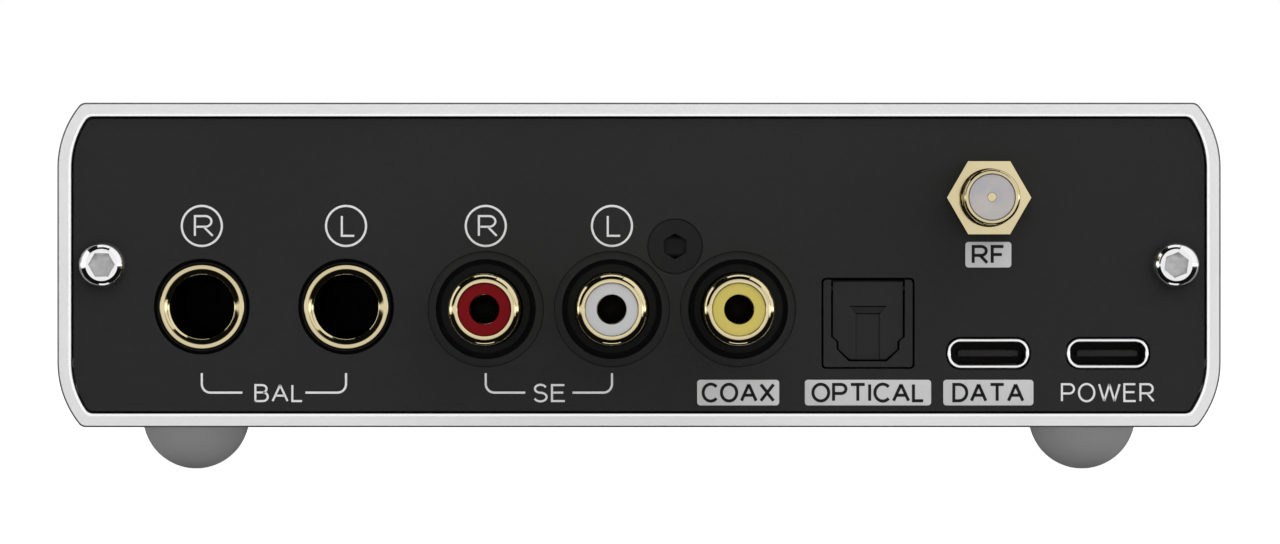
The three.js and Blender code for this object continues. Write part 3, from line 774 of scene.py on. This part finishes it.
def build_rca_barrel(name):
    """A gold barrel with a rounded shoulder."""
    at, reach = reach_from_panel(f"{name}_barrel")
    shoulder_x = BARREL_RADIUS - SHOULDER_RADIUS
    profile = [(3.1, -9.5), (BARREL_RADIUS, -9.5)]
    profile += arc(shoulder_x, reach - SHOULDER_RADIUS, SHOULDER_RADIUS, 0, 90, 24)
    profile += [(3.0, reach), (2.96, reach - 0.04), (2.96, reach - 0.6), (3.1, reach - 0.7)]
    add_piece(f"{name}_barrel_piece", revolve(profile, at, 128), f"{name}_barrel", 40)


def build_rca_insulator(name):
    """The coloured insulator: a flat ring with rounded edges, and the sleeve behind it."""
    at, reach = reach_from_panel(f"{name}_barrel")
    front = reach - INSULATOR_SINK
    profile = [
        (1.0, -9.4), (3.05, -9.4), (3.05, reach - 0.8), (2.93, reach - 0.9), (2.93, front - 0.06),
        (2.87, front), (1.72, front), (1.66, front - 0.06), (1.66, 7.1), (2.05, 7.1), (2.05, -8.4),
        (1.0, -8.4),
    ]
    add_piece(f"{name}_insulator_piece", revolve(profile, at), f"{name}_insulator", 40)


def build_rca_contact(name):
    """The centre contact, split in four, and a black plug deep inside it that paints the shade of its bore.
    """
    at = on_rear_face(f"{name}_barrel")
    profile = [
        (0, -11.5), (0.8, -11.5), (0.8, -8.2), (1.95, -8.2), (1.95, 6.7), (1.9, 6.9), (1.7, 6.9),
        (1.65, 6.8), (1.65, -6), (0, -6),
    ]
    slits = []
    for width, height in ((SLIT_LENGTH, SLIT_WIDTH), (SLIT_WIDTH, SLIT_LENGTH)):
        outline = moved(rounded_rectangle(width, height, 0.05, 1), at.x, at.z)
        slits.append(plate([outline], at.y + 1.5, at.y + 8, **CRISP))
    mesh = carve(revolve(profile, at, 48), *slits)
    add_piece(f"{name}_contact_piece", mesh, f"{name}_centre_contact", 35)
    # Painted shade: a black plug fills the contact's bore, so that the hole reads dark.
    stop = revolve([(0, -5.9), (1.6, -5.9), (1.6, 0.4), (1.45, 0.5), (0, 0.5)], at, 48)
    trim(link_mesh(f"{name}_bore_shade_plug", stop), "black_plastic", f"{name}_barrel")


# ---- optical socket

def optical_key(inset, top):
    """The keyed mouth: square at the top, stepped and chamfered at the bottom."""
    right = [
        (4.085 - inset, top), (4.085 - inset, -1.5), (3.485 - inset, -2.0), (3.485 - inset, -2.87),
        (2.1 - inset / 2, -4.2 + inset),
    ]
    return mirrored(right)


def loft(outline, y, next_outline, next_y):
    """A solid between two outlines with the same number of points."""
    build = bmesh.new()
    rings = [
        [build.verts.new((px, place, pz)) for px, pz in points]
        for points, place in ((outline, y), (next_outline, next_y))
    ]
    bridge(build, rings[0], rings[1])
    for points in rings:
        build.faces.new(points)
    return mesh_of(build)


def build_optical_body():
    """The square housing. Its front frame is open at the top edge, above the mouth."""
    at = on_rear_face("optical_housing")
    low, high = corners("optical_housing")
    half_width = (high.x - low.x) / 2
    half_height = (high.z - low.z) / 2
    outline = rounded_rectangle(2 * half_width, 2 * half_height, OPTICAL_CORNER, 4)
    pocket = rounded_rectangle(7.8, 7.2, 0.1, 1)
    corner_x = half_width - OPTICAL_CORNER
    corner_z = half_height - OPTICAL_CORNER
    frame_right = arc(corner_x, -corner_z, OPTICAL_CORNER, -90, 0, 4) + [(half_width, corner_z)]
    frame_right += arc(corner_x, corner_z, OPTICAL_CORNER, 0, 90, 4)[1:]
    frame_right += optical_key(0, half_height)[:5]
    layers = (
        ([outline, pocket], low.y, at.y + OPTICAL_KEY_BACK),
        ([outline, optical_key(0, 4.55)], at.y + OPTICAL_KEY_BACK, at.y + OPTICAL_FRAME_BACK),
        ([mirrored(frame_right)], at.y + OPTICAL_FRAME_BACK, at.y),
    )
    shells = []
    for outlines, back, front in layers:
        shells.append(plate([moved(shape, at.x, at.z) for shape in outlines], back, front, 0.05))
    add_piece("optical_body", join(shells), "optical_housing", 30, "satin_plastic")


def build_optical_flap():
    """The flap that closes the mouth: a plate with a sunken ramp and two slits, and its hinge pin."""
    at = on_rear_face("optical_housing")
    low, high = corners("optical_housing")
    flap_low, flap_high = corners("optical_shutter")
    front = flap_high.y
    outline = optical_key(FLAP_PLAY, (high.z - low.z) / 2 - FLAP_PLAY)
    mesh = plate([moved(outline, at.x, at.z)], flap_low.y, front, 0.05)
    cutters = []
    for half, z, height in ((2.03, RAMP_TOP - 0.06, 0.14), (1.33, RAMP_FOOT, 0.12)):
        slit = moved(rounded_rectangle(2 * half, height, 0.02, 1), at.x, at.z + z)
        cutters.append(plate([slit], front - 0.8, front + 1, **CRISP))
    floor = moved(mirrored([(1.3, RAMP_FOOT), (1.3, RAMP_FOOT - 0.01), (1.3, RAMP_END)]), at.x, at.z)
    rim = moved(mirrored([(2.05, RAMP_TOP), (1.35, RAMP_FOOT), (1.35, RAMP_END)]), at.x, at.z)
    cutters.append(loft(floor, front - RAMP_DEPTH, rim, front + 0.01))
    mesh = carve(mesh, *cutters)
    hinge = (at.x, (flap_low.y + flap_high.y) / 2, at.z + HINGE_RISE)
    pin = revolve([(0, -4.5), (0.3, -4.5), (0.3, 4.5), (0, 4.5)], ORIGIN, 24)
    mesh = join([mesh, turned(pin, "Z", hinge)])
    add_piece("optical_flap", mesh, "optical_shutter", 25, "satin_plastic")


# ---- data and power sockets

def build_usb_shell(name):
    """The drawn steel shell."""
    at = on_rear_face(f"{name}_shell")
    low, high = corners(f"{name}_shell")
    width = high.x - low.x
    height = high.z - low.z
    outer = rounded_rectangle(width, height, USB_CORNER)
    inner = rounded_rectangle(width - 2 * USB_WALL, height - 2 * USB_WALL, USB_CORNER - USB_WALL)
    mesh = plate([moved(outer, at.x, at.z), moved(inner, at.x, at.z)], low.y, high.y, 0.09, 3)
    add_piece(f"{name}_shell_piece", mesh, f"{name}_shell", 30)


def build_usb_tongue(name):
    """The base deep in the shell, the tongue and its two rows of contacts."""
    at = on_rear_face(f"{name}_shell")
    low, high = corners(f"{name}_shell")
    base_width = high.x - low.x - 2 * USB_WALL - 0.1
    base_height = high.z - low.z - 2 * USB_WALL - 0.1
    base = rounded_rectangle(base_width, base_height, USB_CORNER - USB_WALL)
    tongue = rounded_rectangle(6.7, 0.7, 0.12, 3)
    tongue_back = at.y + USB_TONGUE_BACK
    shells = [
        plate([moved(base, at.x, at.z)], low.y + 0.1, tongue_back),
        plate([moved(tongue, at.x, at.z)], tongue_back, at.y + USB_TONGUE_FRONT),
    ]
    dress(link_mesh(f"{name}_tongue_piece", join(shells), 30), f"{name}_tongue", "satin_plastic")
    pad = rounded_rectangle(0.26, 0.03, 0.01, 1)
    pads = []
    for side in (-1, 1):
        for index in range(USB_PADS):
            x = at.x + (index - (USB_PADS - 1) / 2) * USB_PAD_PITCH
            outline = moved(pad, x, at.z + side * USB_PAD_RISE)
            pads.append(plate([outline], at.y - 5.2, at.y - 1.9, 0.004, 1))
    piece = link_mesh(f"{name}_contacts", join(pads), 30)
    trim(piece, "gold_plate", f"{name}_shell")


# ---- aerial socket

def thread(start, end):
    """Radius along the barrel's screw thread, fading out at both ends."""
    def radius_at(radius, y, angle):
        if radius < THREAD_CREST - 0.001 or y < start or y > end:
            return radius
        phase = (y / THREAD_PITCH - angle / TURN) % 1
        valley = abs(2 * phase - 1)
        fade = min(1, (y - start) / THREAD_PITCH, (end - y) / THREAD_PITCH)
        return radius - THREAD_DEPTH * valley * fade
    return radius_at


def build_antenna_barrel():
    """The threaded gold barrel, with a flange behind the panel."""
    at, reach = reach_from_panel("antenna_jack_body")
    profile = [(0.8, -8.5), (2.2, -8.5), (2.2, -4.2), (4.6, -4.2), (4.6, -2.05)]
    profile += [(THREAD_CREST, -2 + (reach + 1.7) * step / THREAD_STEPS) for step in range(THREAD_STEPS + 1)]
    profile += arc(THREAD_CREST - 0.28, reach - 0.28, 0.28, 20, 90, 8)
    profile += [(2.62, reach), (2.56, reach - 0.06), (2.55, -3), (0.8, -3)]
    mesh = revolve(profile, at, 72, thread(2.1, reach - 1.2))
    add_piece("antenna_barrel", mesh, "antenna_jack_body", 45)


def build_antenna_nut():
    """The hexagonal nut, chamfered at its corners and around its hole."""
    at = on_rear_face("antenna_jack_body")
    low, high = corners("antenna_jack_nut")
    outlines = [moved(hexagon(NUT_FLATS), at.x, at.z), moved(circle(3.16, 64), at.x, at.z)]
    chamfer = revolve([(0, -0.5), (5.2, -0.5), (5.2, 1.75), (4.45, 2.1), (0, 2.1)], at)
    mesh = boolean(plate(outlines, low.y, high.y, 0.04), [chamfer], "INTERSECT")
    mesh = carve(mesh, revolve([(0, 1.8), (3.1, 1.8), (3.42, 2.2), (0, 2.2)], at))
    piece = link_mesh("antenna_nut", mesh, 25)
    soften(piece, 0.06, 25)
    level_shading(dress(piece, "antenna_jack_nut"))


def build_antenna_core():
    """The milky dielectric, slightly dished, and the pin in it."""
    at, reach = reach_from_panel("antenna_jack_body")
    core = [(0.52, -2.9), (2.53, -2.9), (2.53, reach - 0.2), (2.47, reach - 0.14), (0.52, reach - 0.24)]
    add_piece("antenna_core", revolve(core, at), "antenna_jack_dielectric", 40)
    pin = [(0, -8.2), (0.5, -8.2), (0.5, reach - 0.24), (0.47, reach - 0.21), (0, reach - 0.21)]
    add_piece("antenna_pin", revolve(pin, at, 48), "antenna_jack_pin", 25)


# ---- front

def build_front():
    """The smoked fascia with its two round windows."""
    knob = middle("volume_knob")
    button = middle("input_button")
    outlines = [
        moved(case_outline(WALL + PANEL_GAP), 0, CASE_MIDDLE),
        moved(circle(KNOB_WINDOW), knob.x, knob.z),
        moved(circle(BUTTON_WINDOW), button.x, button.z),
    ]
    mesh = plate(outlines, FASCIA_LOW.y, FASCIA_HIGH.y, 0.12, 3)
    add_piece("fascia_plate", mesh, "front_fascia", 30)


def build_knob():
    """The turned knob: a fine knurl on its side, a dished face and a pointer line."""
    low, high = corners("volume_knob")
    centre = (low + high) / 2
    at = Vector((centre.x, 0, centre.z))
    front = low.y
    back = high.y
    radius = (high.x - low.x) / 2

    def knurl(reach, y, angle):
        if reach < radius - 0.001 or y < front + 1.2 or y > back - 1.0:
            return reach
        return reach - KNURL_DEPTH * (0.5 + 0.5 * math.cos(KNURL_RIBS * angle))

    steps = int((back - front - 1.2) / KNURL_STEP) + 1
    profile = [(0, front + 0.5), (8.2, front + 0.35), (8.6, front + 0.05), (8.75, front)]
    profile += [(9.75, front), (10.2, front + 0.2)]
    profile += [(radius, front + 0.75 + KNURL_STEP * step) for step in range(steps)]
    profile += [(radius - 0.35, back), (3.1, back), (3.1, -59.7), (0, -59.7)]
    mesh = revolve(profile, at, KNURL_RIBS * 5, knurl)
    line = moved(rounded_rectangle(0.7, 4.2, 0.3, 4), at.x, at.z + POINTER_RISE)
    groove = plate([line], front - 1, front + 0.75, **CRISP)
    grub = middle("knob_grub_screw")
    hole = revolve([(0, -12), (1.6, -12), (1.6, -2), (0, -2)], ORIGIN, 32)
    mesh = carve(mesh, groove, turned(hole, "X", (at.x, grub.y, at.z)))
    add_piece("knob", mesh, "volume_knob", 35)
    line = moved(rounded_rectangle(0.66, 4.16, 0.29, 4), at.x, at.z + POINTER_RISE)
    inlay = plate([line], front + 0.52, front + 0.8, 0.02, 1)
    trim(link_mesh("knob_pointer", inlay), "dark_ink", "volume_knob")


def build_button():
    """The round button with a shallow dish in its face and a flange behind the fascia."""
    low, high = corners("input_button")
    at = Vector(((low.x + high.x) / 2, 0, (low.z + high.z) / 2))
    front = low.y
    flange = FASCIA_HIGH.y + 0.1
    profile = [(0, front + 0.25), (1.2, front + 0.19), (2.2, front + 0.05), (2.7, front), (3.2, front)]
    profile += [(3.42, front + 0.1), (3.5, front + 0.3), (3.5, flange), (4.3, flange)]
    profile += [(4.3, flange + 1), (1.5, flange + 1), (1.5, high.y), (0, high.y)]
    add_piece("button", revolve(profile, at), "input_button", 40)


# ---- print on the rear panel

def bowl(x, bottom, top, reach):
    """The round side of a letter, from top to bottom."""
    return arc(x, (bottom + top) / 2, reach, 90, -90, 12, (top - bottom) / 2 / reach)


# Middle lines of plain capitals, one unit high.
LETTERS = {
    "A": [[(0, 0), (0.4, 1)], [(0.4, 1), (0.8, 0)], [(0.17, 0.34), (0.63, 0.34)]],
    "B": [
        [(0, 0), (0, 1)] + bowl(0.37, 0.54, 1, 0.23) + [(0.06, 0.54)],
        bowl(0.41, 0, 0.54, 0.26) + [(0, 0)],
    ],
    "C": [arc(0.44, 0.5, 0.42, 42, 318, 24, 1.24)],
    "D": [[(0, 0), (0, 1)] + bowl(0.3, 0, 1, 0.42) + [(0, 0)]],
    "E": [[(0.6, 1), (0, 1), (0, 0), (0.62, 0)], [(0.06, 0.53), (0.55, 0.53)]],
    "F": [[(0.58, 1), (0, 1), (0, 0)], [(0.06, 0.51), (0.5, 0.51)]],
    "I": [[(0, 0), (0, 1)]],
    "L": [[(0, 1), (0, 0), (0.52, 0)]],
    "O": [arc(0.43, 0.5, 0.42, 90, 450, 32, 1.22)],
    "P": [[(0, 0), (0, 1)] + bowl(0.4, 0.45, 1, 0.26) + [(0.06, 0.45)]],
    "R": [[(0, 0), (0, 1)] + bowl(0.42, 0.46, 1, 0.25) + [(0.06, 0.46)], [(0.38, 0.43), (0.72, 0)]],
    "S": [arc(0.32, 0.77, 0.27, 20, 270, 16, 0.93) + arc(0.32, 0.25, 0.30, 90, -160, 16, 0.9)[1:]],
    "T": [[(0, 1), (0.74, 1)], [(0.37, 0.94), (0.37, 0)]],
    "W": [[(0, 1), (0.28, 0)], [(0.28, 0), (0.56, 1)], [(0.56, 1), (0.84, 0)], [(0.84, 0), (1.12, 1)]],
    "X": [[(0, 0), (0.7, 1)], [(0, 1), (0.33, 0.54)], [(0.37, 0.46), (0.7, 0)]],
}


def stroke(points, width):
    """A line of even width along points in a plane, mitred at its bends, as a closed slab."""
    build = bmesh.new()
    rows = []
    places = [Vector(point) for point in points]
    closed = (places[0] - places[-1]).length < 1e-6
    for index, place in enumerate(places):
        before = (place - places[index - 1]).normalized() if index else None
        after = (places[index + 1] - place).normalized() if index + 1 < len(places) else None
        if closed and not index:
            before = (place - places[-2]).normalized()
        if closed and index + 1 == len(places):
            after = (places[1] - place).normalized()
        along = ((before or after) + (after or before)).normalized()
        mitre = 1 / max(along.dot(before or after), 0.6)
        across = Vector((-along.y, along.x)) * width / 2 * mitre
        rows.append([
            build.verts.new((place.x + sign * across.x, place.y + sign * across.y, height))
            for sign, height in ((1, INK / 2), (-1, INK / 2), (-1, -INK / 2), (1, -INK / 2))
        ])
    for row, next_row in zip(rows, rows[1:]):
        bridge(build, row, next_row)
    if closed:
        bmesh.ops.remove_doubles(build, verts=build.verts, dist=1e-6)
    else:
        build.faces.new(rows[0])
        build.faces.new(rows[-1])
    return mesh_of(build)


def lettering(text, cap_height, width, line=TEXT_LINE):
    """Plain capitals of an even line, centred, with a given height and overall width."""
    strokes = []
    start = 0
    for letter in text:
        lines = LETTERS[letter]
        strokes += [[(x + start, y) for x, y in points] for points in lines]
        start += max(x for points in lines for x, _ in points) + LETTER_GAP
    text_width = start - LETTER_GAP
    scale_x = (width - line) / text_width
    scale_y = cap_height - line
    meshes = []
    for points in strokes:
        centred = [((x - text_width / 2) * scale_x, (y - 0.5) * scale_y) for x, y in points]
        meshes.append(stroke(centred, line))
    return join(meshes)


def ink_shape(outlines):
    """A flat field of ink in the same plane as the letters."""
    shape = plate(outlines, -INK / 2, INK / 2, **CRISP)
    shape.transform(Matrix.Rotation(math.pi / 2, 4, "X"))
    return shape


def lay_print(name, mesh, x, z, ink="print_ink", lift=0.0):
    """Lays a mesh drawn in the XY plane on the panel, so that it reads from behind the device."""
    y = REAR_FACE + PRINT_LIFT + lift
    mesh.transform(Matrix(((-1, 0, 0, x), (0, 0, 1, y), (0, 1, 0, z), (0, 0, 0, 1))))
    trim(link_mesh(f"print_{name}", mesh), ink, "rear_panel")


def print_channel(name, node, letter, letter_width, rise):
    """A letter in a circle above a socket."""
    at = middle(node)
    ring = ink_shape([circle(RING_RADIUS + side * RULE_LINE / 2, 72) for side in (1, -1)])
    lay_print(f"{name}_ring", ring, at.x, at.z + rise)
    mesh = lettering(letter, 2.42, letter_width)
    lay_print(f"{name}_letter", mesh, at.x - RING_LETTER_SHIFT, at.z + rise)


def print_bracket(name, text, left_node, right_node, text_width, shift):
    """A bracket that joins two sockets, broken in the middle by a word."""
    row = CASE_MIDDLE + LABEL_ROW
    left_x = middle(left_node).x
    right_x = middle(right_node).x
    centre = (left_x + right_x) / 2
    half = abs(left_x - right_x) / 2
    corner = arc(half - BRACKET_BEND, BRACKET_BEND, BRACKET_BEND, 0, -90, 8)
    points = [(half, BRACKET_LEG)] + corner + [(text_width / 2 + BRACKET_GAP, 0)]
    for side, part in ((-1, "left"), (1, "right")):
        mesh = stroke([(side * x, y) for x, y in points], RULE_LINE)
        lay_print(f"{name}_bracket_{part}", mesh, centre, row)
    lay_print(f"{name}_word", lettering(text, 2.0, text_width), centre - shift, row - BRACKET_WORD_DROP)


def print_label(name, text, node, height, box_width, text_width):
    """Dark letters on a light rounded field."""
    x = middle(node).x
    field = ink_shape([rounded_rectangle(box_width, LABEL_HEIGHT, LABEL_CORNER, 5)])
    lay_print(f"{name}_field", field, x, height, "label_ink")
    mesh = lettering(text, 2.15, text_width, LABEL_LINE)
    lay_print(f"{name}_word", mesh, x, height, "dark_ink", INK)


def build_print():
    """All the print on the rear panel: plain letters and function words."""
    rows = ((TRS_JACKS, "ferrule", TRS_RING_RISE), (PHONO_SOCKETS[:2], "barrel", RCA_RING_RISE))
    for names, part, rise in rows:
        for name, letter, width in zip(names, "RL", (2.2, 1.6)):
            print_channel(name, f"{name}_{part}", letter, width, rise)
    print_bracket("balanced", "BAL", "trs_right_ferrule", "trs_left_ferrule", 5.4, 0.53)
    print_bracket("single_ended", "SE", "rca_right_barrel", "rca_left_barrel", 3.65, 0.05)
    row = CASE_MIDDLE + LABEL_ROW
    print_label("coax", "COAX", "coax_barrel", row, 9.1, 8.2)
    print_label("optical", "OPTICAL", "optical_housing", row, 14.0, 12.6)
    print_label("data", "DATA", "usb_data_shell", row, 10.0, 8.0)
    print_label("aerial", "RF", "antenna_jack_nut", CASE_MIDDLE + AERIAL_LABEL_ROW, 5.1, 3.7)
    lay_print("power_word", lettering("POWER", 2.1, 10.4), middle("usb_power_shell").x, row)


# ---- CAD nodes that stay as they are

def finish_kept_nodes():
    """Inner parts that no piece replaces keep their CAD shape and get their material."""
    for name, piece in frame["nodes"].items():
        if piece.hide_render:
            continue
        piece.data.materials.clear()
        piece.data.materials.append(MATERIALS[NODE_SLOTS[name]])


# ---- stage, light and camera

def build_stage():
    """A pale floor that glows a little, so that it runs into the pale horizon without an edge."""
    build = bmesh.new()
    bmesh.ops.create_circle(build, cap_ends=True, segments=96, radius=FLOOR_RADIUS)
    mesh = bpy.data.meshes.new("floor")
    build.to_mesh(mesh)
    build.free()
    floor = link_object("floor", mesh)
    floor.visible_glossy = False
    material, nodes, links = new_material("pale_floor")
    shader = nodes["Principled BSDF"]
    set_inputs(shader, {"Base Color": (0.82, 0.82, 0.82, 1), "Emission Color": (1, 1, 1, 1)})
    set_inputs(shader, {"Roughness": 0.9, "Specular IOR Level": 0.1})
    place = nodes.new("ShaderNodeTexCoord")
    reach = nodes.new("ShaderNodeVectorMath")
    reach.operation = "LENGTH"
    links.new(place.outputs["Object"], reach.inputs[0])
    glow = add_range(nodes, links, reach.outputs["Value"], FLOOR_GLOW_NEAR, FLOOR_GLOW_FAR,
                     FLOOR_GLOW_START, FLOOR_GLOW_END, "SMOOTHSTEP")
    rays = nodes.new("ShaderNodeLightPath")
    bounce = nodes.new("ShaderNodeMix")
    set_inputs(bounce, {"A": FLOOR_BOUNCE})
    links.new(rays.outputs["Is Camera Ray"], bounce.inputs["Factor"])
    links.new(glow, bounce.inputs["B"])
    links.new(bounce.outputs["Result"], shader.inputs["Emission Strength"])
    mesh.materials.append(material)


def build_sky():
    """A dim room with a bright horizon, and a bright wall beyond each end of the device."""
    world = bpy.data.worlds.new("studio")
    scene.world = world
    world.use_nodes = True
    nodes = world.node_tree.nodes
    links = world.node_tree.links
    place = nodes.new("ShaderNodeTexCoord")
    split = nodes.new("ShaderNodeSeparateXYZ")
    links.new(place.outputs["Generated"], split.inputs["Vector"])
    levels = []
    for axis, (start, end), low, high in (
        ("Y", WALL_EDGE, ROOM_LEVEL, WALL_LEVEL),
        ("Z", HORIZON_EDGE, HORIZON_LEVEL, ROOM_LEVEL),
    ):
        size = nodes.new("ShaderNodeMath")
        size.operation = "ABSOLUTE"
        links.new(split.outputs[axis], size.inputs[0])
        level = add_range(nodes, links, size.outputs["Value"], low, high, start, end, "SMOOTHSTEP")
        levels.append(level)
    brighter = nodes.new("ShaderNodeMath")
    brighter.operation = "MAXIMUM"
    links.new(levels[0], brighter.inputs[0])
    links.new(levels[1], brighter.inputs[1])
    links.new(brighter.outputs["Value"], nodes["Background"].inputs["Strength"])
    nodes["Background"].inputs["Color"].default_value = (1, 1, 1, 1)
    scene.view_settings.view_transform = "Standard"


def add_light(name, place, width, height, radiance, facing):
    """A soft rectangle of light that the camera doesn't see."""
    data = bpy.data.lights.new(name, "AREA")
    data.shape = "RECTANGLE"
    data.size = width
    data.size_y = height
    data.energy = radiance * math.pi * width * height
    light = link_object(name, data)
    light.location = place
    light.rotation_euler = facing.to_track_quat("-Z", "Y").to_euler()
    light.visible_camera = False
    return light


def build_lights():
    """Large panels around the device for its reflections, and a fill light that no reflection shows."""
    target = Vector((0, REAR_FACE, CASE_MIDDLE)) * MM
    for panel in SOFTBOXES:
        place = panel[1]
        add_light(*panel, Vector((target.x - place[0], 0, target.z - place[2])))
    fill = add_light(*FILL_PANEL, target - Vector(FILL_PANEL[1]))
    fill.visible_glossy = False


def build_camera():
    """Level with the middle of the rear panel, looking straight at it from behind the device."""
    data = bpy.data.cameras.new("camera")
    data.lens = CAMERA_LENS
    data.sensor_width = 36
    data.clip_start = 0.01
    data.clip_end = 50
    camera = link_object("camera", data)
    camera.location = Vector((CAMERA_SIDE, REAR_FACE + CAMERA_DISTANCE, CASE_MIDDLE - CAMERA_DROP)) * MM
    camera.rotation_euler = (math.pi / 2, 0, math.pi)
    scene.camera = camera


build_camera()
build_stage()
build_sky()
build_lights()
build_case()
build_rear_panel()
build_case_screw("rear_case_screw_right", 0)
build_case_screw("rear_case_screw_left", 38)
build_centre_screw()
for foot in FEET:
    build_foot(foot)
for jack in TRS_JACKS:
    build_trs_body(jack)
    build_trs_ferrule(jack)
build_rca_block()
for phono in PHONO_SOCKETS:
    build_rca_barrel(phono)
    build_rca_insulator(phono)
    build_rca_contact(phono)
build_optical_body()
build_optical_flap()
for port in USB_PORTS:
    build_usb_shell(port)
    build_usb_tongue(port)
build_antenna_barrel()
build_antenna_nut()
build_antenna_core()
build_front()
build_knob()
build_button()
build_print()
finish_kept_nodes()
